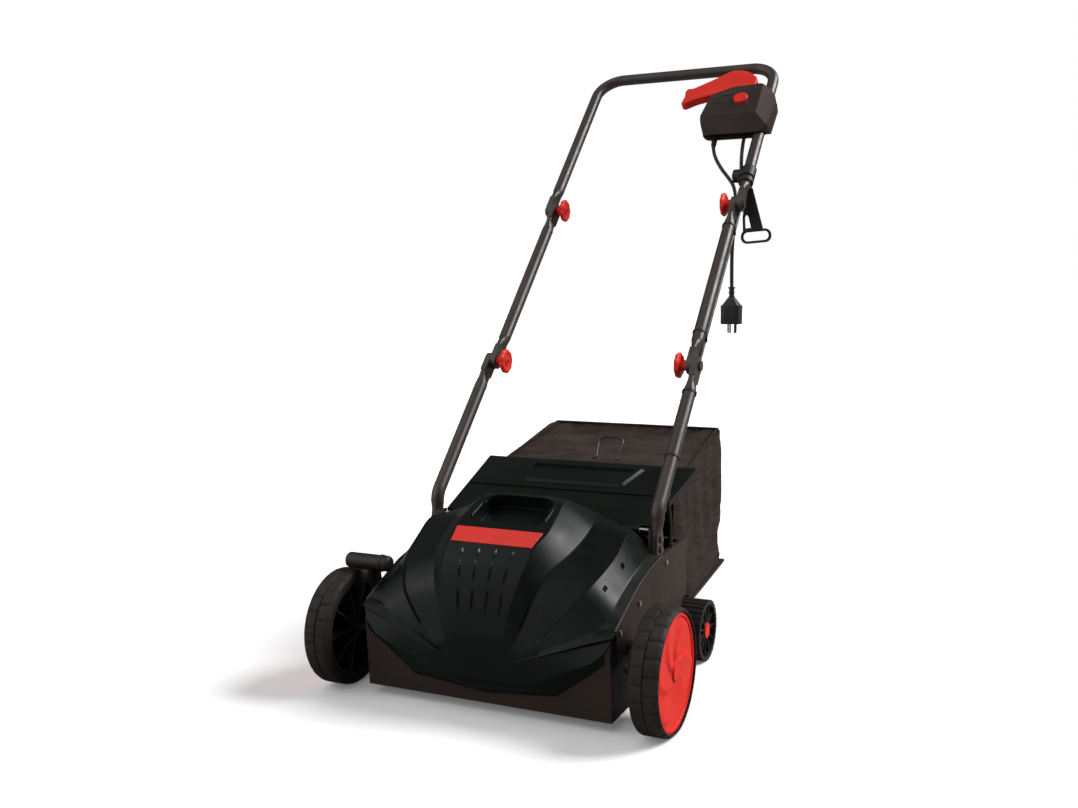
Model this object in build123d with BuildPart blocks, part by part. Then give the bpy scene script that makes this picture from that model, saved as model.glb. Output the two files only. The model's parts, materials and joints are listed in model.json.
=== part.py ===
from build123d import *
from math import acos, atan2, cos, degrees, pi, radians, sin, tan
import os

os.makedirs("parts", exist_ok=True)

# ---------------------------------------------------------------- driving dimensions (mm)
# +Z up. The machine's front faces -Y. The origin is on the ground, in the middle of the
# machine's outline. Heights count from the ground, and the planes made by side(), level()
# and across() count their second direction from the front axle.
WHEEL_R = 90.0            # front wheel radius
REAR_R = 50.6             # rear wheel radius
WHEELBASE = 321.7         # front axle to rear axle
TRACK_OUT = 283.0         # centre to the outer face of a front wheel
REAR_OUT = 232.0          # centre to the outer face of a rear wheel
TYRE_W = 43.0
CAP_R = 83.5              # front hub cap
CAP_T = 6.0
REAR_W = 46.0
DECK_HALF = 199.0         # half width of the deck
WALL = 3.0                # moulded plastic wall
TUBE_R = 11.0             # handle tube radius
TUBE_WALL = 1.5
OUTER_X = 194.0           # centre line of the lower and upper handle tubes
MIDDLE_X = 184.0          # centre line of the middle tubes
FLAT_T = 10.0             # thickness of a flattened tube end
FLAT_W = 29.0             # width of a flattened tube end
LEAN = 46.6               # slope of the handle above level, degrees
KNEE_Y = 170.0            # bend of the lower tube
UPPER_PIVOT = (639.0, 773.0)   # upper fold axis, y and z
LOWER_S = -392.6          # lower fold axis, measured along the handle from the upper one
BAR_S = 412.0             # upper pivot to the crossbar along the handle
BOLT_R = 4.0              # pivot bolts
RUN = 0.05                # radial clearance of a running fit
AXLE_R = 6.0
CRANK = (34.0, 104.0)     # cross shaft of the cranked front axle, y and z
ROLLER = (110.0, 72.0)    # tine roller axis, y and z
TINE_TIP_R = 66.0
MOTOR = (75.0, 203.0)     # motor axis, y and z
MOTOR_R = 47.0
BELT_X = -160.0           # middle plane of the belt drive
CABLE_IN = (193.6, 235.0)  # where the motor cable goes into the deck, X and y
GLAND_TOP = 214.0
FLAP_PIN = (172.0, 246.0)
FLAP_SLOPE = 18.0         # degrees
CABLE_R = 3.5
CABLE_X = 189.0           # the motor cable runs under the right tubes
CABLE_H = -18.6

# the outline ends at the front tyres and behind the crossbar
BACK_Y = UPPER_PIVOT[0] + BAR_S * cos(radians(LEAN)) + TUBE_R
AXLE_Y = (WHEEL_R - BACK_Y) / 2   # the front axle, so that the outline is centred on Y = 0


# ---------------------------------------------------------------- planes and points
def side(x):
    """The plane X = x, with sketch axes (distance behind the front axle, height)."""
    return Plane(origin=(x, AXLE_Y, 0), x_dir=(0, 1, 0), z_dir=(1, 0, 0))


def level(z):
    """The plane Z = z, with sketch axes (X, distance behind the front axle)."""
    return Plane(origin=(0, AXLE_Y, z), x_dir=(1, 0, 0), z_dir=(0, 0, 1))


def across(y):
    """The upright plane y behind the front axle, facing forwards, with sketch axes (X, Z)."""
    return Plane(origin=(0, AXLE_Y + y, 0), x_dir=(1, 0, 0), z_dir=(0, -1, 0))


def at(x, y, z):
    return Vector(x, AXLE_Y + y, z)


def on_handle(x, s, h):
    """A point x across, s along the handle above the upper pivot, h in front of its plane."""
    c = cos(radians(LEAN))
    n = sin(radians(LEAN))
    return at(x, UPPER_PIVOT[0] + s * c - h * n, UPPER_PIVOT[1] + s * n + h * c)


def handle_plane(h=0.0):
    """The plane of the handle, h in front of the tubes' centre lines, with axes (X, s)."""
    tilt = radians(LEAN)
    return Plane(
        origin=on_handle(0, 0, h), x_dir=(1, 0, 0), z_dir=(0, -sin(tilt), cos(tilt))
    )


def handle_section(s):
    """The plane square to the tubes at s, with sketch axes (X, -h)."""
    tilt = radians(LEAN)
    return Plane(origin=on_handle(0, s, 0), x_dir=(1, 0, 0), z_dir=(0, cos(tilt), sin(tilt)))


def save(piece, name):
    piece.part.label = name
    export_step(piece.part, f"parts/{name}.step")


SIDES = (("left", -1), ("right", 1))


def spin_x(x_from, x_to, centre, radius, bore=0.0, mode=Mode.ADD):
    """A cylinder or ring along X between two stations, on the axis at centre (y, z)."""
    length = abs(x_to - x_from)
    body = Cylinder(radius, length, mode=Mode.PRIVATE)
    if bore:
        body -= Cylinder(bore, length, mode=Mode.PRIVATE)
    middle = Plane(origin=at((x_from + x_to) / 2, *centre), z_dir=(1, 0, 0))
    add(middle.location * body, mode=mode)


def prism(plane, amount, points):
    """A straight-sided solid on a closed outline."""
    with BuildPart() as body:
        with BuildSketch(plane):
            with BuildLine():
                Polyline(*points, close=True)
            make_face()
        extrude(amount=amount)
    return body.part


# ---------------------------------------------------------------- wheels
def front_tyre(sign):
    """Tyre with a tread of blocks, cut by grooves across its width."""
    grooves = 24
    groove_w = 4.0
    groove_deep = 2.0
    bead_r = 74.0
    inner = sign * (TRACK_OUT - TYRE_W)
    outer = sign * TRACK_OUT
    with BuildPart() as tyre:
        spin_x(inner, outer, (0, WHEEL_R), WHEEL_R, bead_r)
        spin_x(sign * (TRACK_OUT - CAP_T), outer, (0, WHEEL_R), CAP_R, mode=Mode.SUBTRACT)
        with BuildSketch(side(min(inner, outer))):
            with Locations((0, WHEEL_R)):
                with PolarLocations(WHEEL_R, grooves, start_angle=7.5):
                    Rectangle(2 * groove_deep, groove_w)
        extrude(amount=TYRE_W * 0.3, mode=Mode.SUBTRACT)
        with BuildSketch(side(min(inner, outer) + TYRE_W * 0.7)):
            with Locations((0, WHEEL_R)):
                with PolarLocations(WHEEL_R, grooves):
                    Rectangle(2 * groove_deep, groove_w)
        extrude(amount=TYRE_W * 0.3, mode=Mode.SUBTRACT)
    return tyre


def front_rim(sign):
    """Web and hub of a front wheel, open towards the machine."""
    hub_r = 14.0
    well_r = 70.0
    web_t = 4.0
    inner = sign * (TRACK_OUT - TYRE_W + 2)
    outer = sign * (TRACK_OUT - 6)
    web_in = sign * (TRACK_OUT - 6 - web_t)
    with BuildPart() as rim:
        spin_x(inner, outer, (0, WHEEL_R), 74.0, well_r)
        spin_x(web_in, outer, (0, WHEEL_R), well_r + 1)
        spin_x(inner, outer, (0, WHEEL_R), hub_r)
        with BuildSketch(side(min(inner, outer))):
            with Locations((0, WHEEL_R)):
                with PolarLocations(42, 10):
                    Rectangle(60, 3)
        extrude(amount=abs(outer - inner))
        spin_x(inner, outer, (0, WHEEL_R), AXLE_R + RUN, mode=Mode.SUBTRACT)
    return rim


def front_cap(sign):
    """Disc with swirled turbine vanes that covers the outer face of a front wheel."""
    vanes = 18
    with BuildSketch() as vane:
        with BuildLine():
            ThreePointArc((12, 0), (48, -10), (81, -4))
        trace(line_width=3)
    face = TRACK_OUT - CAP_T / 2
    with BuildPart() as cap:
        spin_x(sign * (TRACK_OUT - CAP_T), sign * face, (0, WHEEL_R), CAP_R)
        with BuildSketch(side(min(sign * face, sign * TRACK_OUT))):
            with Locations((0, WHEEL_R)):
                Circle(CAP_R)
                Circle(79.5, mode=Mode.SUBTRACT)
                Circle(14)
                with PolarLocations(0, vanes):
                    add(vane.sketch)
        extrude(amount=CAP_T / 2)
    return cap


def rear_wheel(sign):
    """Small one-piece wheel with thin spokes on its outer face."""
    inner = sign * (REAR_OUT - REAR_W)
    outer = sign * REAR_OUT
    axis = (WHEELBASE, REAR_R)
    with BuildPart() as wheel:
        spin_x(inner, outer, axis, REAR_R, 43.0)
        spin_x(sign * (REAR_OUT - 12), sign * (REAR_OUT - 9), axis, 43.5)
        spin_x(inner, sign * (REAR_OUT - 4), axis, 13.0)
        with BuildSketch(side(min(sign * (REAR_OUT - 12), sign * (REAR_OUT - 3)))):
            with Locations(axis):
                with PolarLocations(28.5, 11):
                    Rectangle(31, 2.4)
        extrude(amount=9)
        with BuildSketch(side(min(inner, outer))):
            with Locations(axis):
                with PolarLocations(REAR_R, 30):
                    Rectangle(2.4, 3)
        extrude(amount=REAR_W, mode=Mode.SUBTRACT)
        spin_x(inner, sign * (REAR_OUT - 4), axis, AXLE_R + RUN, mode=Mode.SUBTRACT)
    return wheel


def rear_cap(sign):
    with BuildPart() as cap:
        spin_x(sign * (REAR_OUT - 4), sign * (REAR_OUT - 1), (WHEELBASE, REAR_R), 12.5)
    return cap


for name, sign in SIDES:
    save(front_tyre(sign), f"front_tyre_{name}")
    save(front_rim(sign), f"front_rim_{name}")
    save(front_cap(sign), f"front_cap_{name}")
    save(rear_wheel(sign), f"rear_wheel_{name}")
    save(rear_cap(sign), f"rear_cap_{name}")

with BuildPart() as rear_axle:
    reach = REAR_OUT - 5.0
    spin_x(-reach, reach, (WHEELBASE, REAR_R), AXLE_R)
save(rear_axle, "rear_axle")

# ---------------------------------------------------------------- cranked front axle and depth lever
ARM_IN = DECK_HALF + 8.0
ARM_OUT = ARM_IN + 7.0
with BuildPart() as front_axle:
    spin_x(-ARM_IN, ARM_IN, CRANK, AXLE_R)
    for sign in (-1, 1):
        spin_x(sign * ARM_IN, sign * (TRACK_OUT - 12), (0, WHEEL_R), AXLE_R)
        with BuildSketch(side(min(sign * ARM_IN, sign * ARM_OUT))):
            with Locations((CRANK[0] / 2, (CRANK[1] + WHEEL_R) / 2)):
                slope = degrees(atan2(CRANK[1] - WHEEL_R, CRANK[0]))
                SlotCenterToCenter(CRANK[0] + 2, 24, rotation=slope)
        extrude(amount=ARM_OUT - ARM_IN)
save(front_axle, "front_axle")

GRIP = (8.0, 194.0)       # centre of the depth lever's grip, y and z
STEM_OUT = -(ARM_OUT + 7.0)
STEM = [(20, 96), (42, 92), (38, 120), (20, GRIP[1]), (-4, GRIP[1]), (8, 130)]
with BuildPart() as depth_lever:
    spin_x(-264, -185, GRIP, 12.5)
    fillet(depth_lever.edges().filter_by(GeomType.CIRCLE), 6)
    spin_x(-204, -199, GRIP, 13.5)
    add(prism(side(STEM_OUT), 7, STEM))
save(depth_lever, "depth_lever")

# ---------------------------------------------------------------- deck
# Side outline of the deck, its tine chamber and the bay above the chamber roof, as (y, z).
DECK_OUTLINE = [
    (-36, 16), (-44, 123), (-24, 147), (15, 165), (61, 183), (114, 197), (180, 206),
    (275, 209), (303, 208), (303, 113), (284, 112), (236, 34), (214, 18),
]
CHAMBER = [
    (-31, 0), (-33, 92), (-26, 122), (-4, 140), (205, 142), (290, 190), (320, 200),
    (320, 117), (281, 117), (232, 38), (212, 10), (212, 0),
]
BAY = [(-24, 300), (-24, 131), (-6, 145), (203, 147), (286, 194), (292, 300)]


BELT_WALL_X = -143.5
HANGER_SLOT = [(281, 120), (305, 120), (305, 109), (286, 109), (239, 31), (226, 31), (229, 39)]
with BuildPart() as deck:
    add(prism(side(-DECK_HALF), 2 * DECK_HALF, DECK_OUTLINE))
    inside = DECK_HALF - WALL
    add(prism(side(-inside), 2 * inside, CHAMBER), mode=Mode.SUBTRACT)
    bay_half = DECK_HALF - 7.5
    add(prism(side(-bay_half), 2 * bay_half, BAY), mode=Mode.SUBTRACT)
    # wall between the belt and the tines
    with BuildSketch(side(BELT_WALL_X - WALL)):
        with BuildLine():
            Polyline(
                (-32, 60), (-33, 92), (-26, 122), (-4, 140.5), (200, 142.5), (224, 100), (190, 60),
                close=True,
            )
        make_face()
    extrude(amount=WALL)
    # belt slot through the roof
    with BuildSketch(level(130)):
        with Locations((BELT_X, 92)):
            Rectangle(24, 104)
    extrude(amount=30, mode=Mode.SUBTRACT)
    # bores for the axle bushes, the roller bearings and the roller itself
    for sign in (-1, 1):
        spin_x(sign * (DECK_HALF - 8), sign * (DECK_HALF + 4), CRANK, 13.0)
    spin_x(-210, 210, CRANK, AXLE_R + RUN, mode=Mode.SUBTRACT)
    spin_x(-210, 210, ROLLER, 17.0, mode=Mode.SUBTRACT)
    # stiffening ribs on the bay floor
    with BuildSketch(level(146)):
        with Locations((-60, 60), (60, 60), (-60, 150), (60, 150)):
            Rectangle(4, 60)
    extrude(amount=5)
    # slots in the rear wall that let the axle hangers through
    for sign in (-1, 1):
        slot = prism(side(sign * 187.8 - 8.2), 16.4, HANGER_SLOT)
        add(slot, mode=Mode.SUBTRACT)
    # saddles under the motor
    for x in (-70, 50):
        with BuildSketch(side(x)):
            with Locations((MOTOR[0], 160)):
                Rectangle(84, 30)
        extrude(amount=20)
    spin_x(-80, 80, MOTOR, MOTOR_R, mode=Mode.SUBTRACT)
    # gland where the motor cable goes in
    with BuildSketch(level(202)):
        with Locations((CABLE_IN[0], CABLE_IN[1])):
            Circle(5.4)
    extrude(amount=GLAND_TOP - 202)
save(deck, "deck")

with BuildPart() as depth_index_plate:
    notches = 5
    with BuildSketch(side(-DECK_HALF - 3)):
        with BuildLine():
            Polyline((-16, 118), (-16, 146), (30, 166), (62, 166), (62, 140), (40, 122), close=True)
        make_face()
        with Locations(CRANK):
            Circle(13.0, mode=Mode.SUBTRACT)
            with PolarLocations(46, notches, start_angle=70, angular_range=80):
                Circle(3, mode=Mode.SUBTRACT)
    extrude(amount=3)
save(depth_index_plate, "depth_index_plate")


def rear_hanger(sign):
    """Stepped steel arm that carries the rear axle inboard of the wheel."""
    foot = 192.0
    arm = 180.0
    thick = 3.5
    with BuildPart() as hanger:
        with BuildSketch(level(0)):
            with BuildLine():
                Polyline(
                    (sign * (foot + thick), 208), (sign * (foot + thick), 254),
                    (sign * (arm + thick), 266), (sign * (arm + thick), 340),
                    (sign * arm, 340), (sign * arm, 264), (sign * foot, 252),
                    (sign * foot, 208), close=True,
                )
            make_face()
        extrude(amount=200)
        with BuildSketch(side(-250)):
            with BuildLine():
                Polyline(
                    (210, 60), (216, 100), (256, 158), (286, 158), (296, 80), (338, 66),
                    (338, 40), (300, 36), (250, 46), close=True,
                )
            make_face()
        extrude(amount=500, mode=Mode.INTERSECT)
        spin_x(-250, 250, (WHEELBASE, REAR_R), AXLE_R, mode=Mode.SUBTRACT)
    return hanger


with BuildPart() as rear_hangers:
    for name, sign in SIDES:
        add(rear_hanger(sign).part)
save(rear_hangers, "rear_hangers")

# ---------------------------------------------------------------- tine roller
with BuildPart() as tine_shaft:
    spin_x(-190, 190, ROLLER, 8.0)
    spin_x(-141, 182, ROLLER, 11.0)
save(tine_shaft, "tine_shaft")

HUBS = 10
HUB_PITCH = 33.0
HUB_X0 = -132.0
with BuildPart() as tine_hubs:
    for k in range(HUBS):
        x = HUB_X0 + k * HUB_PITCH
        spin_x(x - 9, x + 9, ROLLER, 19.0, 11.0)
save(tine_hubs, "tine_hubs")

with BuildPart() as spring_tines:
    tine_r = 1.6
    for k in range(HUBS):
        x = HUB_X0 + k * HUB_PITCH
        for turn in (0, 180):
            a = radians(turn + 36 * k)
            b = radians(turn + 36 * k - 14)
            root = at(x, ROLLER[0] + 19.0 * cos(a), ROLLER[1] + 19.0 * sin(a))
            knee = at(x, ROLLER[0] + 44.0 * cos(a), ROLLER[1] + 44.0 * sin(a))
            tip = at(x, ROLLER[0] + TINE_TIP_R * cos(b), ROLLER[1] + TINE_TIP_R * sin(b))
            with BuildLine(mode=Mode.PRIVATE) as bend:
                FilletPolyline(root, knee, tip, radius=8)
            with BuildSketch(Plane(origin=root, z_dir=knee - root)):
                Circle(tine_r)
            sweep(path=bend.line)
save(spring_tines, "spring_tines")

BELT_W = 12.0
MOTOR_PULLEY_R = 14.0
ROLLER_PULLEY_R = 28.0


def pulley(centre, radius, bore):
    """Flat-belt pulley with two flanges."""
    with BuildPart() as wheel:
        spin_x(BELT_X - 8, BELT_X + 8, centre, radius)
        for flange in (BELT_X - 8, BELT_X + 6.5):
            spin_x(flange, flange + 1.5, centre, radius + 4)
        spin_x(BELT_X - 8, BELT_X + 8, centre, bore, mode=Mode.SUBTRACT)
    return wheel


save(pulley(ROLLER, ROLLER_PULLEY_R, 8.0), "roller_pulley")
save(pulley(MOTOR, MOTOR_PULLEY_R, 5.0), "motor_pulley")

BELT_GAP = 0.4
BELT_T = 2.4


def belt_loop(grow):
    """The solid inside a loop that runs grow outside both pulleys."""
    big = ROLLER_PULLEY_R + grow
    small = MOTOR_PULLEY_R + grow
    run_y = MOTOR[0] - ROLLER[0]
    run_z = MOTOR[1] - ROLLER[1]
    to_motor = atan2(run_z, run_y)
    apart = (run_y**2 + run_z**2) ** 0.5
    swing = acos((big - small) / apart)

    def round_roller(turn):
        return (ROLLER[0] + big * cos(to_motor + turn), ROLLER[1] + big * sin(to_motor + turn))

    def round_motor(turn):
        return (MOTOR[0] + small * cos(to_motor + turn), MOTOR[1] + small * sin(to_motor + turn))

    with BuildPart() as loop:
        with BuildSketch(side(BELT_X - BELT_W / 2)):
            with BuildLine():
                Line(round_roller(swing), round_motor(swing))
                ThreePointArc(round_motor(swing), round_motor(0), round_motor(-swing))
                Line(round_motor(-swing), round_roller(-swing))
                ThreePointArc(round_roller(-swing), round_roller(pi), round_roller(swing))
            make_face()
        extrude(amount=BELT_W)
    return loop.part


with BuildPart() as drive_belt:
    add(belt_loop(BELT_GAP + BELT_T))
    add(belt_loop(BELT_GAP), mode=Mode.SUBTRACT)
save(drive_belt, "drive_belt")

with BuildPart() as bearing_blocks:
    for sign in (-1, 1):
        spin_x(sign * 186, sign * (DECK_HALF + 0), ROLLER, 17.0, 8.0 + RUN)
        spin_x(sign * 186, sign * 192, ROLLER, 24.0, 16.9)
save(bearing_blocks, "bearing_blocks")

# ---------------------------------------------------------------- motor
MOTOR_L = 92.0            # half length of the housing
with BuildPart() as motor_housing:
    spin_x(-MOTOR_L, MOTOR_L, MOTOR, MOTOR_R, MOTOR_R - 2.5)
    for end in (-MOTOR_L, MOTOR_L):
        spin_x(end, end + 5, MOTOR, MOTOR_R, 12.0)
    with BuildSketch(side(MOTOR_L)):
        with Locations(MOTOR):
            with PolarLocations(31, 8):
                Circle(5)
    extrude(amount=5, mode=Mode.SUBTRACT)
save(motor_housing, "motor_housing")

with BuildPart() as motor_bearings:
    spin_x(-MOTOR_L, -MOTOR_L + 8, MOTOR, 12.0, 5.0 + RUN)
    spin_x(MOTOR_L - 4, MOTOR_L + 5, MOTOR, 12.0, 5.0 + RUN)
save(motor_bearings, "motor_bearings")

with BuildPart() as motor_stator:
    spin_x(-45, 45, MOTOR, MOTOR_R - 2.5, 29.0)
    for end in (-62, 45):
        spin_x(end, end + 17, MOTOR, 42.0, 31.0)
save(motor_stator, "motor_stator")

with BuildPart() as motor_rotor:
    spin_x(BELT_X - 10, MOTOR_L + 22, MOTOR, 5.0)
    spin_x(-46, 46, MOTOR, 28.0)
save(motor_rotor, "motor_rotor")

with BuildPart() as cooling_fan:
    spin_x(MOTOR_L + 8, MOTOR_L + 20, MOTOR, 11.0)
    spin_x(MOTOR_L + 8, MOTOR_L + 10, MOTOR, 41.0)
    with BuildSketch(side(MOTOR_L + 10)):
        with Locations(MOTOR):
            with PolarLocations(25.5, 10):
                Rectangle(31, 2)
    extrude(amount=10)
    spin_x(MOTOR_L + 8, MOTOR_L + 20, MOTOR, 5.0, mode=Mode.SUBTRACT)
save(cooling_fan, "cooling_fan")

# ---------------------------------------------------------------- hood
# Half sections of the hood, front to back: y, then (x, z) from the middle outwards:
# nose edge, bevel foot, shoulder, side foot, flange edge, and the underside back to the middle.
HOOD = [
    (-60, (40, 116), (46, 108), (66, 96), (84, 82), (92, 74), (80, 62), (42, 60), (0, 60)),
    (-50, (52, 176), (60, 158), (108, 140), (158, 122), (190, 118), (180, 104), (116, 56), (0, 42)),
    (-34, (66, 224), (72, 208), (136, 172), (176, 144), (205, 146), (205, 100), (116, 40), (0, 30)),
    (-15, (68, 244), (78, 232), (148, 190), (187, 162), (205, 155), (205, 100), (116, 40), (0, 30)),
    (21, (76, 263), (90, 250), (162, 212), (188, 179), (205, 171), (205, 100), (116, 40), (0, 30)),
    (60, (74, 280), (96, 264), (168, 230), (189, 195), (205, 187), (205, 100), (116, 40), (0, 30)),
    (108, (68, 297), (104, 276), (168, 254), (190, 208), (205, 199), (205, 100), (116, 40), (0, 30)),
    (140, (64, 288), (106, 274), (166, 252), (190, 213), (205, 204), (205, 100), (116, 40), (0, 30)),
    (162, (62, 256), (104, 252), (160, 244), (190, 216), (205, 208), (205, 100), (116, 40), (0, 30)),
]
HOOD_T = 3.0


def hood_section(row, shrink, y_move=0.0):
    """One closed section of the hood, drawn from its half outline."""
    y = row[0] + y_move
    half = []
    for k, (x, z) in enumerate(row[1:]):
        lower = k >= 5
        drop = -shrink if lower and row[0] < -44 else shrink
        if lower and row[0] >= -44:
            drop = 2 * shrink
        half.append((max(x - shrink, 0) if x else 0, z - drop))
    top, under = half[:5], half[5:]
    loop = top + under[:2]
    mirrored = [(-x, z) for x, z in reversed(loop)]
    with BuildSketch(across(y)) as section:
        with BuildLine():
            Polyline(*loop, *mirrored, close=True)
        make_face()
    return section.sketch


def hood_solid(shrink):
    rows = HOOD
    with BuildPart() as body:
        for k, row in enumerate(rows):
            move = shrink if k == 0 else (-shrink if k == len(rows) - 1 else 0)
            add(hood_section(row, shrink, move))
        loft(ruled=True)
    return body.part


HOOD_CLEAR = [
    (-36, 16), (-44.3, 123), (-24.2, 147.3), (14.8, 165.3), (61, 183.3), (114, 197.3),
    (180, 206.3), (303, 208.3), (303, 0), (-36, 0),
]
LUG = [(158, 220), (158, 240), (166, 251), (175, 251), (176, 243), (168, 220)]
SCOOP = (112.0, 72.0)     # recess behind the badge: width, and length along the sloping top
SCOOP_DEPTH = 14.0
NOSE_SLOPE = atan2(34, 87)


def scoop_plane(depth):
    """Parallel to the top of the nose, at a depth below it."""
    fall = (0, -sin(NOSE_SLOPE), cos(NOSE_SLOPE))
    return Plane(origin=at(0, 68 - depth * fall[1], 281.5 - depth * fall[2]), x_dir=(1, 0, 0), z_dir=fall)


with BuildPart() as scoop_block:
    with BuildSketch(scoop_plane(SCOOP_DEPTH + 2.5)):
        RectangleRounded(SCOOP[0] + 6, SCOOP[1] + 6, 10)
    extrude(amount=40)
scoop_walls = scoop_block.part & hood_solid(0.0)

with BuildPart() as hood:
    add(hood_solid(0.0))
    add(hood_solid(HOOD_T), mode=Mode.SUBTRACT)
    with BuildSketch(side(-260)):
        with BuildLine():
            Polyline(*HOOD_CLEAR, close=True)
        make_face()
    extrude(amount=520, mode=Mode.SUBTRACT)
    # scoop behind the badge, with its cooling slots
    add(scoop_walls)
    with BuildSketch(scoop_plane(SCOOP_DEPTH)):
        RectangleRounded(*SCOOP, 8)
    extrude(amount=60, mode=Mode.SUBTRACT)
    with BuildSketch(scoop_plane(SCOOP_DEPTH + 12)):
        with GridLocations(12, 0, 8, 1):
            Rectangle(5, 50)
    extrude(amount=16, mode=Mode.SUBTRACT)
    # notches for the handle feet
    for sign in (-1, 1):
        with BuildSketch(level(190)):
            with Locations((sign * 192, 171)):
                Rectangle(18, 46)
        extrude(amount=80, mode=Mode.SUBTRACT)
    # lugs for the flap's hinge rod
    for x in (-176, -100, 0, 100, 176):
        lug = prism(side(x - 3), 6, LUG)
        add(lug)
    spin_x(-200, 200, FLAP_PIN, 3.0, mode=Mode.SUBTRACT)
save(hood, "hood")

BADGE = [(21, 263), (-15, 244)]
with BuildPart() as badge:
    slope = atan2(BADGE[0][1] - BADGE[1][1], BADGE[0][0] - BADGE[1][0])
    tilted = Plane(
        origin=at(0, 3 - 0.6 * sin(slope), 253.5 + 0.6 * cos(slope)),
        x_dir=(1, 0, 0), z_dir=(0, -sin(slope), cos(slope)),
    )
    with BuildSketch(tilted):
        with BuildLine():
            Polyline((-66, -17), (66, -17), (71, 17), (-71, 17), close=True)
        make_face()
    extrude(amount=2)
save(badge, "badge")

SCREWS = [(-5, 137), (74.5, 158.5), (198, 191)]
with BuildPart() as hood_screws:
    for sign in (-1, 1):
        for y, z in SCREWS:
            if sign < 0 and y < 100:
                continue
            spin_x(sign * DECK_HALF, sign * (DECK_HALF + 2.5), (y, z), 4.0)
save(hood_screws, "hood_screws")

# ---------------------------------------------------------------- flap
FLAP_LEN = 208.0
slope = radians(FLAP_SLOPE)
with BuildPart() as flap_hinge_rod:
    spin_x(-179, 179, FLAP_PIN, 3.0)
save(flap_hinge_rod, "flap_hinge_rod")


def flap_plane(lift):
    """Sketch axes: X, and the distance from the hinge pin along the flap."""
    return Plane(
        origin=at(0, FLAP_PIN[0] - lift * sin(slope), FLAP_PIN[1] + lift * cos(slope)),
        x_dir=(1, 0, 0), z_dir=(0, -sin(slope), cos(slope)),
    )


def flap_board(lift, thick, inset, start):
    outline = [
        (-181 + inset, start), (181 - inset, start),
        (197 - inset, FLAP_LEN - inset), (-197 + inset, FLAP_LEN - inset),
    ]
    return prism(flap_plane(lift), thick, outline)


with BuildPart() as flap:
    add(flap_board(-4, 8, 0, 8))
    add(flap_board(-4, 5, 3, 10), mode=Mode.SUBTRACT)
    # grip recess
    with BuildSketch(flap_plane(-1)):
        with Locations((0, 160)):
            Trapezoid(196, 56, 100)
    extrude(amount=3)
    with BuildSketch(flap_plane(1)):
        with Locations((0, 160)):
            Trapezoid(188, 48, 100)
    extrude(amount=6, mode=Mode.SUBTRACT)
    # hinge knuckles
    for x in (-150, -50, 50, 150):
        spin_x(x - 14, x + 14, FLAP_PIN, 6.0)
        with BuildSketch(flap_plane(-4)):
            with Locations((x, 5)):
                Rectangle(28, 10)
        extrude(amount=8)
    spin_x(-200, 200, FLAP_PIN, 3.0 + RUN, mode=Mode.SUBTRACT)
save(flap, "flap")


# ---------------------------------------------------------------- handle tubes
TAPER_TO = 55.0           # the tube is round beyond this distance from a pivot
FLAT_TO = 30.0            # and flat up to this one


def flat_end(x, s_pivot, s_far, x_thick=FLAT_T):
    """Flattened tube end with a round nose about its pivot hole."""
    low, high = sorted((s_pivot, s_far))
    half = FLAT_W / 2
    with BuildPart() as end:
        with BuildSketch(handle_plane(-half)):
            with Locations((x, (low + high) / 2)):
                Rectangle(x_thick, high - low)
        extrude(amount=FLAT_W)
        nose = Cylinder(half, x_thick, mode=Mode.PRIVATE)
        add(Plane(origin=on_handle(x, s_pivot, 0), z_dir=(1, 0, 0)).location * nose)
    return end.part


def taper(x, s_flat, s_round):
    """Transition from the flattened section to the round one."""
    with BuildPart() as cone:
        with BuildSketch(handle_section(s_flat)):
            with Locations((x, 0)):
                RectangleRounded(FLAT_T, FLAT_W, FLAT_T / 2 - 0.2)
        with BuildSketch(handle_section(s_round)):
            with Locations((x, 0)):
                Circle(TUBE_R)
        loft()
    return cone.part


def along_x(x_from, x_to, s, h, radius, mode=Mode.ADD):
    """A cylinder along X through the handle at s and h."""
    body = Cylinder(radius, abs(x_to - x_from), mode=Mode.PRIVATE)
    middle = Plane(origin=on_handle((x_from + x_to) / 2, s, h), z_dir=(1, 0, 0))
    add(middle.location * body, mode=mode)


def tube_along(path, start, direction):
    """Round hollow tube swept along a path."""
    with BuildPart() as tube:
        with BuildSketch(Plane(origin=start, z_dir=direction)):
            Circle(TUBE_R)
            Circle(TUBE_R - TUBE_WALL, mode=Mode.SUBTRACT)
        sweep(path=path)
    return tube.part


FOOT_Z = (209.0, 240.0)   # flattened foot of the lower tube
FOOT_ROUND = 264.0
FOOT_BOLTS = (218.0, 234.0)
KNEE_S = (KNEE_Y - UPPER_PIVOT[0]) / cos(radians(LEAN))
KNEE_Z = UPPER_PIVOT[1] + KNEE_S * sin(radians(LEAN))


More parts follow.
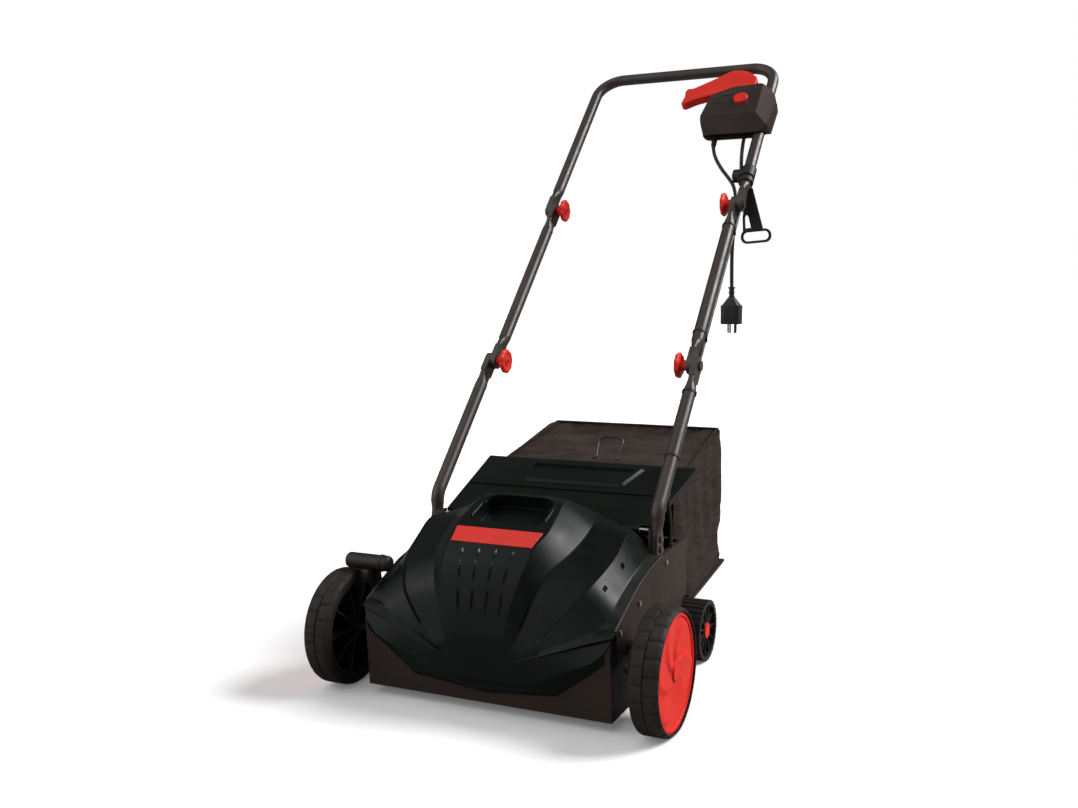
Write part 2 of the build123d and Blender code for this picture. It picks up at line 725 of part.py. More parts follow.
def lower_tube(x):
    top = LOWER_S - TAPER_TO
    with BuildPart() as foot:
        with BuildSketch(level(FOOT_Z[0])):
            with Locations((x, KNEE_Y)):
                RectangleRounded(FLAT_T, FLAT_W, 2)
        extrude(amount=FOOT_Z[1] - FOOT_Z[0])
        with BuildSketch(level(FOOT_Z[1])):
            with Locations((x, KNEE_Y)):
                RectangleRounded(FLAT_T, FLAT_W, 2)
        with BuildSketch(level(FOOT_ROUND)):
            with Locations((x, KNEE_Y)):
                Circle(TUBE_R)
        loft()
    with BuildLine() as path:
        FilletPolyline(
            at(x, KNEE_Y, FOOT_ROUND), at(x, KNEE_Y, KNEE_Z), on_handle(x, top, 0), radius=30
        )
    with BuildPart() as tube:
        add(foot.part)
        add(tube_along(path.line, at(x, KNEE_Y, FOOT_ROUND), (0, 0, 1)))
        add(taper(x, LOWER_S - FLAT_TO, top))
        add(flat_end(x, LOWER_S, LOWER_S - FLAT_TO))
        along_x(x - 20, x + 20, LOWER_S, 0, BOLT_R, mode=Mode.SUBTRACT)
        for z in FOOT_BOLTS:
            spin_x(x - 20, x + 20, (KNEE_Y, z), 3.0, mode=Mode.SUBTRACT)
    return tube.part


def middle_tube(x):
    low = LOWER_S + TAPER_TO
    high = -TAPER_TO
    with BuildPart() as tube:
        with BuildSketch(handle_section(low)):
            with Locations((x, 0)):
                Circle(TUBE_R)
                Circle(TUBE_R - TUBE_WALL, mode=Mode.SUBTRACT)
        extrude(amount=high - low)
        add(taper(x, LOWER_S + FLAT_TO, low))
        add(taper(x, -FLAT_TO, high))
        add(flat_end(x, LOWER_S, LOWER_S + FLAT_TO))
        add(flat_end(x, 0, -FLAT_TO))
        for s in (LOWER_S, 0):
            along_x(x - 20, x + 20, s, 0, BOLT_R + RUN, mode=Mode.SUBTRACT)
    return tube.part


with BuildPart() as lower_tubes:
    for name, sign in SIDES:
        add(lower_tube(sign * OUTER_X))
save(lower_tubes, "lower_tubes")

with BuildPart() as middle_tubes:
    for name, sign in SIDES:
        add(middle_tube(sign * MIDDLE_X))
save(middle_tubes, "middle_tubes")

BAR_BEND = 52.0
with BuildLine() as u_path:
    FilletPolyline(
        on_handle(-OUTER_X, TAPER_TO, 0), on_handle(-OUTER_X, BAR_S, 0),
        on_handle(OUTER_X, BAR_S, 0), on_handle(OUTER_X, TAPER_TO, 0), radius=BAR_BEND,
    )
up_the_handle = (0, cos(radians(LEAN)), sin(radians(LEAN)))
with BuildPart() as upper_handle:
    add(tube_along(u_path.line, on_handle(-OUTER_X, TAPER_TO, 0), up_the_handle))
    for name, sign in SIDES:
        add(taper(sign * OUTER_X, FLAT_TO, TAPER_TO))
        add(flat_end(sign * OUTER_X, 0, FLAT_TO))
    along_x(-220, 220, 0, 0, BOLT_R, mode=Mode.SUBTRACT)
save(upper_handle, "upper_handle")

BRACKET_X = OUTER_X - FLAT_T / 2
with BuildPart() as handle_brackets:
    for sign in (-1, 1):
        plate = prism(
            side(min(sign * (BRACKET_X - 4), sign * BRACKET_X)), 4,
            [(154, 160), (186, 160), (186, 250), (154, 250)],
        )
        pad = prism(
            side(min(sign * BRACKET_X, sign * (DECK_HALF - 7.5))), DECK_HALF - 7.5 - BRACKET_X,
            [(154, 160), (186, 160), (186, 198), (154, 198)],
        )
        add(plate)
        add(pad)
    for z in FOOT_BOLTS:
        spin_x(-220, 220, (KNEE_Y, z), 3.0, mode=Mode.SUBTRACT)
save(handle_brackets, "handle_brackets")

HEAD_X = OUTER_X + FLAT_T / 2
KNOB_IN = 152.0
with BuildPart() as lower_bolts:
    for sign in (-1, 1):
        along_x(sign * (KNOB_IN + 6), sign * HEAD_X, LOWER_S, 0, BOLT_R)
        along_x(sign * HEAD_X, sign * (HEAD_X + 4), LOWER_S, 0, 8.5)
        for z in FOOT_BOLTS:
            spin_x(sign * (BRACKET_X - 9), sign * HEAD_X, (KNEE_Y, z), 3.0)
            spin_x(sign * HEAD_X, sign * (HEAD_X + 3.5), (KNEE_Y, z), 5.5)
            spin_x(sign * (BRACKET_X - 9), sign * (BRACKET_X - 4), (KNEE_Y, z), 5.5)
save(lower_bolts, "lower_bolts")

with BuildPart() as upper_bolts:
    for sign in (-1, 1):
        along_x(sign * (KNOB_IN + 6), sign * HEAD_X, 0, 0, BOLT_R)
        along_x(sign * HEAD_X, sign * (HEAD_X + 4), 0, 0, 8.5)
save(upper_bolts, "upper_bolts")


def knob(sign, s):
    """Round clamping knob with a fluted rim and a dished face."""
    outer = MIDDLE_X - FLAT_T / 2 - 0.4
    with BuildPart() as wheel:
        along_x(sign * KNOB_IN, sign * outer, s, 0, 22.0)
        middle = Plane(origin=on_handle(sign * KNOB_IN, s, 0), z_dir=(sign, 0, 0))
        with BuildSketch(middle):
            with PolarLocations(24.5, 12):
                Circle(4)
        extrude(amount=outer - KNOB_IN - 7, mode=Mode.SUBTRACT)
        with BuildSketch(middle):
            Circle(14.5)
            Circle(7.5, mode=Mode.SUBTRACT)
        extrude(amount=4, mode=Mode.SUBTRACT)
        along_x(sign * (KNOB_IN - 5), sign * (outer + 5), s, 0, BOLT_R + RUN, mode=Mode.SUBTRACT)
    return wheel


for name, sign in SIDES:
    save(knob(sign, LOWER_S), f"lower_knob_{name}")
    save(knob(sign, 0), f"upper_knob_{name}")

# ---------------------------------------------------------------- switch box
BOX = [
    (92, 190), (198, 190), (213, 204), (216, 286), (206, 304), (182, 318),
    (160, 314), (127, 312), (92, 295), (84, 286), (75, 222), (80, 202),
]
BOX_BACK = -14.0
BOX_FRONT = 33.0
BOX_WALL = 2.5
LEVER_PIVOT = (152.0, 346.0)
LEVER_H = (6.0, 24.0)
LEVER_PEG_R = 3.0
BUTTON = (150.0, 272.0)
BUTTON_R = 14.5


def box_solid(h_from, h_to, inset=0.0, ear=False):
    with BuildPart() as solid:
        with BuildSketch(handle_plane(h_from)):
            with BuildLine():
                Polyline(*BOX, close=True)
            make_face()
            if ear:
                with Locations(LEVER_PIVOT):
                    Circle(13)
                with BuildLine():
                    Polyline((138, 305), (139, 346), (165, 346), (172, 312), close=True)
                make_face()
            if inset:
                offset(amount=-inset, kind=Kind.INTERSECTION, mode=Mode.REPLACE)
        extrude(amount=h_to - h_from)
    return solid.part


def leg_passage(mode=Mode.SUBTRACT):
    tube = Cylinder(TUBE_R, 380, mode=Mode.PRIVATE)
    add(handle_section(240).location * Pos(OUTER_X, 0, 0) * tube, mode=mode)


def lever_room():
    """Space in front of the rear shell's ear that the lever sweeps."""
    return prism(
        handle_plane(LEVER_H[0] - 0.5), BOX_FRONT - LEVER_H[0] + 20,
        [
            (182, 420), (-20, 420), (-20, 262), (28, 262), (50, 278), (78, 291),
            (127, 313), (160, 315), (182, 319),
        ],
    )


def box_facet(lift=0.0):
    """What the slanting bottom leaves off, below the crease in front and below the back."""
    corners = [(170, 70), (227, 60), (227, 33), (190, 14), (218, -14), (218, -40), (170, -40)]
    with BuildPart() as wedge:
        with BuildSketch(Plane(origin=on_handle(60, lift, 0), x_dir=up_the_handle, z_dir=(1, 0, 0))):
            with BuildLine():
                Polyline(*corners, close=True)
            make_face()
        extrude(amount=180)
    return wedge.part


def box_cavity(h_from, h_to):
    return box_solid(h_from, h_to, BOX_WALL) - box_facet(2 * BOX_WALL)


with BuildPart() as switch_box_rear:
    add(box_solid(BOX_BACK, 0, ear=True))
    add(box_cavity(BOX_BACK + BOX_WALL, 1), mode=Mode.SUBTRACT)
    with BuildSketch(handle_section(262)):
        with Locations((OUTER_X, 0)):
            Circle(TUBE_R + 2.5)
    extrude(amount=70, both=True)
    add(prism(handle_plane(0), 60, [(40, 100), (240, 100), (240, 380), (40, 380)]), mode=Mode.SUBTRACT)
    leg_passage()
    add(lever_room(), mode=Mode.SUBTRACT)
    add(box_facet(), mode=Mode.SUBTRACT)
    # peg that the lever turns on
    with BuildSketch(handle_plane(BOX_BACK + 2)):
        with Locations(LEVER_PIVOT):
            Circle(LEVER_PEG_R)
    extrude(amount=LEVER_H[1] - BOX_BACK - 4)
save(switch_box_rear, "switch_box_rear")

with BuildPart() as switch_box_front:
    add(box_solid(0, BOX_FRONT))
    add(box_cavity(-1, BOX_FRONT - BOX_WALL), mode=Mode.SUBTRACT)
    with BuildSketch(handle_section(262)):
        with Locations((OUTER_X, 0)):
            Circle(TUBE_R + 2.5)
    extrude(amount=70, both=True)
    add(prism(handle_plane(-60), 60, [(40, 100), (240, 100), (240, 380), (40, 380)]), mode=Mode.SUBTRACT)
    leg_passage()
    add(lever_room(), mode=Mode.SUBTRACT)
    add(box_facet(), mode=Mode.SUBTRACT)
    with BuildSketch(handle_plane(BOX_FRONT - 10)):
        with Locations(BUTTON):
            Circle(BUTTON_R + 2)
            Circle(BUTTON_R + 0.4, mode=Mode.SUBTRACT)
    extrude(amount=12)
    with BuildSketch(handle_plane(BOX_FRONT - 10)):
        with Locations(BUTTON):
            Circle(BUTTON_R + 0.4)
    extrude(amount=12, mode=Mode.SUBTRACT)
save(switch_box_front, "switch_box_front")

with BuildPart() as lock_button:
    with BuildSketch(handle_plane(BOX_FRONT - 9)):
        with Locations(BUTTON):
            Circle(BUTTON_R)
    extrude(amount=14)
    fillet(lock_button.faces().sort_by(Axis.Z)[-1].edges(), 1.5)
save(lock_button, "lock_button")

with BuildPart() as switch_lever:
    with BuildSketch(handle_plane(LEVER_H[0])):
        with BuildLine():
            Polyline(
                (168, 322), (158, 318), (127, 318), (78, 304), (50, 295), (38, 288), (28, 282), (20, 285),
                (22, 300), (24, 308), (21, 320), (24, 331), (36, 331), (46, 338), (79, 360), (100, 375),
                (113, 382), (128, 381), (144, 374), (158, 362), (168, 351), close=True,
            )
        make_face()
    extrude(amount=LEVER_H[1] - LEVER_H[0])
    pin = Cylinder(LEVER_PEG_R + RUN, 80, mode=Mode.PRIVATE)
    add(handle_plane().location * Pos(*LEVER_PIVOT, 10) * pin, mode=Mode.SUBTRACT)
save(switch_lever, "switch_lever")


# ---------------------------------------------------------------- cables and cord
def cord_path(points, name, loose=0.45):
    """Straight runs joined by the largest tangent arcs that they allow."""
    runs = [b - a for a, b in zip(points, points[1:])]
    radii = []
    for before, after in zip(runs, runs[1:]):
        half_turn = radians(before.get_angle(after)) / 2
        radii.append(loose * min(before.length, after.length) / tan(half_turn))
    print(name, "run", round(sum(r.length for r in runs)), "radii", [round(r) for r in radii])
    with BuildLine() as line:
        FilletPolyline(*points, radius=radii)
    return line.wire()


def cord(points, radius, name):
    path = cord_path(points, name)
    with BuildPart() as tube:
        with BuildSketch(Plane(origin=points[0], z_dir=points[1] - points[0])):
            Circle(radius)
        sweep(path=path)
    ratio = tube.part.volume / (pi * radius**2 * path.length)
    print(name, "length", round(path.length), "volume ratio", round(ratio, 4))
    return tube


SPLIT = 2.0               # gap between cable lengths at a fold axis
CABLE_UPPER = [
    on_handle(165, 207, 0), on_handle(167, 175, 1), on_handle(171, 138, 1),
    on_handle(174.5, 111, -3), on_handle(179.5, 84, -10), on_handle(185, 56, -17),
    on_handle(CABLE_X, 28, CABLE_H + 0.4), on_handle(CABLE_X, SPLIT, CABLE_H),
]
CABLE_LOWER = [
    on_handle(CABLE_X, LOWER_S - SPLIT, CABLE_H), on_handle(CABLE_X, -598, CABLE_H),
    at(191, 228, 284), at(193, 236, 249), at(193.6, 235, GLAND_TOP),
]
save(cord(CABLE_UPPER, CABLE_R, "motor_cable_upper"), "motor_cable_upper")
save(cord(CABLE_LOWER, CABLE_R, "motor_cable_lower"), "motor_cable_lower")
with BuildPart() as motor_cable_middle:
    with BuildSketch(handle_section(LOWER_S + SPLIT)):
        with Locations((CABLE_X, -CABLE_H)):
            Circle(CABLE_R)
    extrude(amount=-LOWER_S - 2 * SPLIT)
save(motor_cable_middle, "motor_cable_middle")

RELIEF_TOP = on_handle(104, 209, 0)
RELIEF_TIP = on_handle(108, 170, 0)
with BuildPart() as cord_relief:
    down = RELIEF_TIP - RELIEF_TOP
    with BuildSketch(Plane(origin=RELIEF_TOP, z_dir=down)):
        Circle(6.0)
    with BuildSketch(Plane(origin=RELIEF_TIP, z_dir=down)):
        Circle(4.4)
    loft()
    for k in range(4):
        ring = Cylinder(6.4 - 0.4 * k, 3, mode=Mode.PRIVATE)
        spot = Plane(origin=RELIEF_TOP + down * (0.25 + 0.2 * k), z_dir=down)
        add(spot.location * ring)
save(cord_relief, "cord_relief")

CORD_R = 3.5
PLUG_TOP = 619.0
PLUG_AT = (172.0, 668.0)
PLUG_CORD = [
    RELIEF_TIP, on_handle(112, 152, 0), on_handle(122, 130, -2), on_handle(136, 107, -5),
    on_handle(151, 89, -10), on_handle(163, 75, -17), on_handle(170, 56, -25), at(172.6, 690, 772),
    at(173.2, 680, 747), at(172.6, 672.5, 720), at(171.6, 668.8, 690),
    at(171.6, 667.4, 655), at(*PLUG_AT, PLUG_TOP),
]
save(cord(PLUG_CORD, CORD_R, "plug_cord"), "plug_cord")

with BuildPart() as plug:
    x, y = PLUG_AT
    for z, radius, tall in ((616, 6.6, 3), (610, 4.8, 6), (607, 5.6, 3), (602, 4.8, 5), (599, 5.8, 3)):
        with BuildSketch(level(z)):
            with Locations((x, y)):
                Circle(radius)
        extrude(amount=tall)
    with BuildSketch(level(584)):
        with Locations((x, y)):
            RectangleRounded(34, 28, 8)
    with BuildSketch(level(599)):
        with Locations((x, y)):
            RectangleRounded(13, 12, 5)
    loft()
    with BuildSketch(level(548)):
        with Locations((x, y)):
            RectangleRounded(38, 32, 9)
    extrude(amount=36)
    fillet(plug.faces().sort_by(Axis.Z)[0].edges(), 2)
    # two slanted line blades and the earth blade
    with BuildSketch(level(531)):
        for dx, dy, turn in ((-7, 3, 30), (7, 3, -30), (0, -8, 0)):
            with Locations((x + dx, y + dy)):
                Rectangle(1.6, 6.3, rotation=turn)
    extrude(amount=18)
save(plug, "plug")

CLIP_S = (72.0, 96.0)
with BuildPart() as cable_clip:
    with BuildSketch(handle_section(CLIP_S[0])):
        with Locations((OUTER_X, 0)):
            Circle(TUBE_R + 3)
            Circle(TUBE_R, mode=Mode.SUBTRACT)
    extrude(amount=CLIP_S[1] - CLIP_S[0])
    with BuildSketch(handle_plane(-13)):
        with Locations((174, 85)):
            RectangleRounded(22, 22, 4)
        with Locations((181, 77)):
            Circle(8)
            Circle(4.2, mode=Mode.SUBTRACT)
    extrude(amount=15)
    leg_passage()
save(cable_clip, "cable_clip")

with BuildPart() as cable_ties:
    tie = 3.5
    for s, x in ((LOWER_S - 190, OUTER_X), (LOWER_S - 60, OUTER_X)):
        with BuildSketch(handle_section(s)):
            with Locations((x, 0)):
                Circle(TUBE_R + 1.4)
            with Locations((CABLE_X, -CABLE_H)):
                Circle(CABLE_R + 1.4)
            make_hull()
            with Locations((x, 0)):
                Circle(TUBE_R, mode=Mode.SUBTRACT)
            with Locations((CABLE_X, -CABLE_H)):
                Circle(CABLE_R, mode=Mode.SUBTRACT)
        extrude(amount=tie)
save(cable_ties, "cable_ties")

with BuildPart() as middle_ties:
    for s in (LOWER_S + 70, -62):
        with BuildSketch(handle_section(s)):
            with Locations((MIDDLE_X, 0)):
                Circle(TUBE_R + 1.4)
            with Locations((CABLE_X, -CABLE_H)):
                Circle(CABLE_R + 1.4)
            make_hull()
            with Locations((MIDDLE_X, 0)):
                Circle(TUBE_R, mode=Mode.SUBTRACT)
            with Locations((CABLE_X, -CABLE_H)):
                Circle(CABLE_R, mode=Mode.SUBTRACT)
        extrude(amount=tie)
save(middle_ties, "middle_ties")

# Hook that takes the weight of an extension lead: a collar on the tube and a hanging plate.
HOOK_S = (56.0, 66.0)
HOOK_Y = 687.0
with BuildPart() as cord_hook:
    with BuildSketch(handle_section(HOOK_S[0])):
        with Locations((OUTER_X, 0)):
            Circle(TUBE_R + 3)
    extrude(amount=HOOK_S[1] - HOOK_S[0])
    with BuildSketch(across(HOOK_Y + 2.5)):
        with BuildLine():
            Polyline(
                (194, 806), (205, 806), (216, 765), (227, 725), (188, 723), (187, 752), (191, 785),
                close=True,
            )
        make_face()
        with Locations(Location((213, 715, 0), (0, 0, 4))):
            RectangleRounded(58, 26, 12)
            RectangleRounded(49, 17, 8, mode=Mode.SUBTRACT)
        with BuildLine():
            Polyline((191, 751), (193, 755), (196, 755), (198.5, 751), (203.5, 731), (192, 730), close=True)
        make_face(mode=Mode.SUBTRACT)
    extrude(amount=5)
    leg_passage()
    collar_bore = Cylinder(TUBE_R + RUN, 60, mode=Mode.PRIVATE)
    add(handle_section(62).location * Pos(OUTER_X, 0, 0) * collar_bore, mode=Mode.SUBTRACT)
save(cord_hook, "cord_hook")

# ---------------------------------------------------------------- grass bag
BAG_HALF = 176.0
BAG_SKIN = 2.5
BAG_OUTER = [(306, 118), (306, 283), (385, 308), (606, 355), (600, 103), (402, 80)]
BAG_INNER = [(300, 121), (300, 279), (386, 305.4), (603.4, 352), (597.4, 105.4), (402.4, 82.6)]
BAIL_PIN = (402.0, 316.0)
BAIL_X = 18.0
BAIL_R = 2.2
with BuildPart() as bag:
    add(prism(side(-BAG_HALF), 2 * BAG_HALF, BAG_OUTER))
    inside = BAG_HALF - BAG_SKIN
    add(prism(side(-inside), 2 * inside, BAG_INNER), mode=Mode.SUBTRACT)
    # sewn-on lugs that the carry loop turns in
    y, z = BAIL_PIN
    for x in (BAIL_X - 26, BAIL_X + 22.5):
        add(prism(side(x), 3.5, [(y - 9, z - 7.2), (y + 9, z - 3.4), (y + 5, z + 4), (y - 5, z + 4)]))
    spin_x(BAIL_X - 30, BAIL_X + 30, BAIL_PIN, BAIL_R + RUN, mode=Mode.SUBTRACT)
save(bag, "bag")

with BuildPart() as bag_tray:
    add(prism(side(-181), 362, [(402, 79.9), (600, 102.9), (606, 103.6), (606, 98.6), (402, 75)]))
save(bag_tray, "bag_tray")

with BuildPart() as bag_bail:
    y, z = BAIL_PIN
    feet = [at(BAIL_X + dx, y, z) for dx in (-26, -19, 19, 26)]
    top = [at(BAIL_X + dx, y + 33, z + 35) for dx in (-25, 25)]
    corners = [*feet[:2], *top, *feet[2:]]
    with BuildLine() as loop:
        FilletPolyline(*corners, radius=[3.2, 14, 14, 3.2])
    with BuildSketch(Plane(origin=corners[0], z_dir=(1, 0, 0))):
        Circle(BAIL_R)
    sweep(path=loop.line)
save(bag_bail, "bag_bail")
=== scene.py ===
import json
from math import atan2, cos, pi, radians, sin

import bmesh
import bpy
from mathutils import Matrix, Vector


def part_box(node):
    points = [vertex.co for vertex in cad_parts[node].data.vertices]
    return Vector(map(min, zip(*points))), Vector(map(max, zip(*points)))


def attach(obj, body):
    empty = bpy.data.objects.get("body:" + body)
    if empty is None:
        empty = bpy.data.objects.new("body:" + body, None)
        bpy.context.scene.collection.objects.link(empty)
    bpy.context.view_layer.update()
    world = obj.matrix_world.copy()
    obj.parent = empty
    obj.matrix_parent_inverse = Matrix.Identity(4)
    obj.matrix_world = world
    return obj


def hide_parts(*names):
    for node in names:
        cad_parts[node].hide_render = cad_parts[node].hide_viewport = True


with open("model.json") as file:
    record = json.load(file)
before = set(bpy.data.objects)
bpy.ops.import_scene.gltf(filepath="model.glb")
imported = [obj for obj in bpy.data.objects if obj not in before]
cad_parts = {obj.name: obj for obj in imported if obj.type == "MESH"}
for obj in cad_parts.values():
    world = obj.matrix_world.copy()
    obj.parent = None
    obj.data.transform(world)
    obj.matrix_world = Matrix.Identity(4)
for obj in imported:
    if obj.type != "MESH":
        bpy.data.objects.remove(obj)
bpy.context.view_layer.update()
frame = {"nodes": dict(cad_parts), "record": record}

# ---------------------------------------------------------------- places, in millimetres from the front axle
MM = 0.001
AXLE_Y = -421.54          # the front axle in the row frame
LEAN = radians(46.6)      # the handle's slope
KNEE = (639.0, 773.0)     # the upper fold axis, y and z
FLAP_PIN = (172.0, 246.0)
FLAP_SLOPE = radians(18)

BODY = {}
for body_name, node_names in frame["record"]["behaviour"]["bodies"].items():
    for node_name in node_names:
        BODY[node_name] = body_name
SLOT = {}
for part in frame["record"]["subparts"]:
    SLOT[part["node"]] = part["material_slot"]


def at(x, y, z):
    return Vector((x * MM, (y + AXLE_Y) * MM, z * MM))


def on_handle(x, s, h=0.0):
    """Point x to the right, s up the handle from the upper fold, h in front of the tubes."""
    return at(x, KNEE[0] + s * cos(LEAN) - h * sin(LEAN), KNEE[1] + s * sin(LEAN) + h * cos(LEAN))


# ---------------------------------------------------------------- camera, floor and light
def make_camera():
    azimuth, elevation, roll = radians(24.92), radians(5.88), radians(-0.36)
    back = Vector((sin(azimuth) * cos(elevation), -cos(azimuth) * cos(elevation), sin(elevation)))
    right = Vector((cos(azimuth), sin(azimuth), 0))
    up = back.cross(right)
    across = cos(roll) * right + sin(roll) * up
    above = cos(roll) * up - sin(roll) * right
    turn = Matrix((across, above, back)).transposed().to_4x4()
    data = bpy.data.cameras.new("camera")
    data.sensor_width = 36.0
    data.lens = 37.016
    data.clip_end = 50
    camera = bpy.data.objects.new("camera", data)
    bpy.context.scene.collection.objects.link(camera)
    camera.matrix_world = Matrix.Translation((0.73512, -1.84461, 0.61583)) @ turn
    bpy.context.scene.camera = camera


def area_light(name, place, aim, size, power, tint=(1, 1, 1)):
    data = bpy.data.lights.new(name, "AREA")
    data.shape = "RECTANGLE"
    data.size, data.size_y = size
    data.energy = power
    data.color = tint
    lamp = bpy.data.objects.new(name, data)
    bpy.context.scene.collection.objects.link(lamp)
    lamp.location = place
    lamp.rotation_euler = (Vector(aim) - Vector(place)).to_track_quat("-Z", "Y").to_euler()


def link(name, mesh):
    piece = bpy.data.objects.new(name, mesh)
    bpy.context.scene.collection.objects.link(piece)
    return piece


def make_stage():
    mesh = bpy.data.meshes.new("floor")
    wide = 30.0
    corners = [(-wide, -wide, 0), (wide, -wide, 0), (wide, wide, 0), (-wide, wide, 0)]
    mesh.from_pydata(corners, [], [(0, 1, 2, 3)])
    floor = link("floor", mesh)
    paper = bpy.data.materials.new("floor_paper")
    paper.use_nodes = True
    shader = paper.node_tree.nodes["Principled BSDF"]
    shader.inputs["Base Color"].default_value = (0.96, 0.96, 0.96, 1)
    shader.inputs["Roughness"].default_value = 0.95
    shader.inputs["Specular IOR Level"].default_value = 0.0
    shader.inputs["Emission Color"].default_value = (1, 1, 1, 1)
    seen = paper.node_tree.nodes.new("ShaderNodeLightPath")
    tree = paper.node_tree
    glow = multiplied(tree, seen.outputs["Is Camera Ray"], 0.1)
    tone = blend_colors(tree, seen.outputs["Is Camera Ray"], (0.3, 0.3, 0.3, 1), (0.96, 0.96, 0.96, 1))
    tree.links.new(glow, shader.inputs["Emission Strength"])
    tree.links.new(tone, shader.inputs["Base Color"])
    mesh.materials.append(paper)
    make_world()
    sun("fill", (-0.60, -0.70, 0.80), 1.5, 90)
    sun("behind", (0.75, 0.45, 0.75), 3.8, 30)
    area_light("strip_right", (2.4, 0.5, 1.1), (0, 0, 0.35), (0.5, 1.8), 5)
    area_light("strip_left", (-1.9, -1.5, 1.3), (0, 0, 0.4), (0.4, 1.6), 7)
    bpy.context.scene.view_settings.view_transform = "Standard"
    bpy.context.scene.view_settings.look = "None"


def multiplied(tree, source, factor):
    node = tree.nodes.new("ShaderNodeMath")
    node.operation = "MULTIPLY"
    node.inputs[1].default_value = factor
    tree.links.new(source, node.inputs[0])
    return node.outputs["Value"]


def make_world():
    """White behind the object, and a dimmer light all round it."""
    world = bpy.data.worlds.new("studio")
    world.use_nodes = True
    tree = world.node_tree
    sky = tree.nodes["Background"]
    sky.inputs["Color"].default_value = (1.0, 1.0, 1.0, 1)
    rays = tree.nodes.new("ShaderNodeLightPath")
    level = tree.nodes.new("ShaderNodeMapRange")
    level.inputs["To Min"].default_value = 0.11
    level.inputs["To Max"].default_value = 1.0
    tree.links.new(rays.outputs["Is Camera Ray"], level.inputs["Value"])
    tree.links.new(level.outputs["Result"], sky.inputs["Strength"])
    bpy.context.scene.world = world


def sun(name, toward, power, spread_degrees):
    """Light from far away: toward points at it from the object."""
    data = bpy.data.lights.new(name, "SUN")
    data.energy = power
    data.angle = radians(spread_degrees)
    lamp = bpy.data.objects.new(name, data)
    bpy.context.scene.collection.objects.link(lamp)
    lamp.rotation_euler = Vector(toward).to_track_quat("Z", "Y").to_euler()


# ---------------------------------------------------------------- materials
def new_material(name, rough, metal=0.0, coat=0.0, spec=0.5, sheen=0.0):
    made = bpy.data.materials.new(name)
    made.use_nodes = True
    shader = made.node_tree.nodes["Principled BSDF"]
    shader.inputs["Roughness"].default_value = rough
    shader.inputs["Metallic"].default_value = metal
    shader.inputs["Coat Weight"].default_value = coat
    shader.inputs["Coat Roughness"].default_value = 0.08
    shader.inputs["Specular IOR Level"].default_value = spec
    shader.inputs["Sheen Weight"].default_value = sheen
    return made, made.node_tree, shader


def place_coords(tree, scale=(1, 1, 1), turn=(0, 0, 0)):
    coords = tree.nodes.new("ShaderNodeTexCoord")
    mapping = tree.nodes.new("ShaderNodeMapping")
    mapping.inputs["Scale"].default_value = scale
    mapping.inputs["Rotation"].default_value = turn
    tree.links.new(coords.outputs["Object"], mapping.inputs["Vector"])
    return mapping.outputs["Vector"]


def noise(tree, scale, detail=3.0, stretch=(1, 1, 1)):
    node = tree.nodes.new("ShaderNodeTexNoise")
    node.inputs["Scale"].default_value = scale
    node.inputs["Detail"].default_value = detail
    tree.links.new(place_coords(tree, stretch), node.inputs["Vector"])
    return node.outputs["Fac"]


def ramp(tree, source, low, high, first, second):
    node = tree.nodes.new("ShaderNodeValToRGB")
    node.color_ramp.elements[0].position = low
    node.color_ramp.elements[1].position = high
    node.color_ramp.elements[0].color = first
    node.color_ramp.elements[1].color = second
    tree.links.new(source, node.inputs["Fac"])
    return node.outputs["Color"]


def spread(tree, source, low, high):
    """Map a 0-1 pattern to the span low-high."""
    node = tree.nodes.new("ShaderNodeMapRange")
    node.inputs["From Min"].default_value = 0.3
    node.inputs["From Max"].default_value = 0.7
    node.inputs["To Min"].default_value = low
    node.inputs["To Max"].default_value = high
    tree.links.new(source, node.inputs["Value"])
    return node.outputs["Result"]


def blend_colors(tree, factor, first, second):
    node = tree.nodes.new("ShaderNodeMix")
    node.data_type = "RGBA"
    tree.links.new(factor, node.inputs["Factor"])
    for socket, value in ((node.inputs["A"], first), (node.inputs["B"], second)):
        if hasattr(value, "default_value"):
            tree.links.new(value, socket)
        else:
            socket.default_value = value
    return node.outputs["Result"]


def bump(tree, shader, height, strength, depth):
    node = tree.nodes.new("ShaderNodeBump")
    node.inputs["Strength"].default_value = strength
    node.inputs["Distance"].default_value = depth
    tree.links.new(height, node.inputs["Height"])
    before = shader.inputs["Normal"].links
    if before:
        tree.links.new(before[0].from_socket, node.inputs["Normal"])
    tree.links.new(node.outputs["Normal"], shader.inputs["Normal"])


def worn_edges(tree, color, light, amount):
    """Lighten the outer edges a little, where the surface is rubbed."""
    shape = tree.nodes.new("ShaderNodeNewGeometry")
    edge = tree.nodes.new("ShaderNodeMapRange")
    edge.inputs["From Min"].default_value = 0.51
    edge.inputs["From Max"].default_value = 0.62
    edge.inputs["To Max"].default_value = amount
    tree.links.new(shape.outputs["Pointiness"], edge.inputs["Value"])
    return blend_colors(tree, edge.outputs["Result"], color, light)


def moulded(name, dark, light, rough, grain=900.0, grain_depth=0.00004, coat=0.0, wear=0.25, spec=0.5):
    """Injection-moulded plastic: spark-eroded grain, cloudy tone, rubbed edges."""
    made, tree, shader = new_material(name, rough, coat=coat, spec=spec)
    tone = ramp(tree, noise(tree, 9, 5), 0.35, 0.68, (*dark, 1), (*light, 1))
    pale = tuple(min(1, c * 2.2 + 0.02) for c in light)
    tree.links.new(worn_edges(tree, tone, (*pale, 1), wear), shader.inputs["Base Color"])
    tree.links.new(spread(tree, noise(tree, 26, 4), rough - 0.06, rough + 0.07), shader.inputs["Roughness"])
    bump(tree, shader, noise(tree, grain, 2), 0.45, grain_depth)
    return made


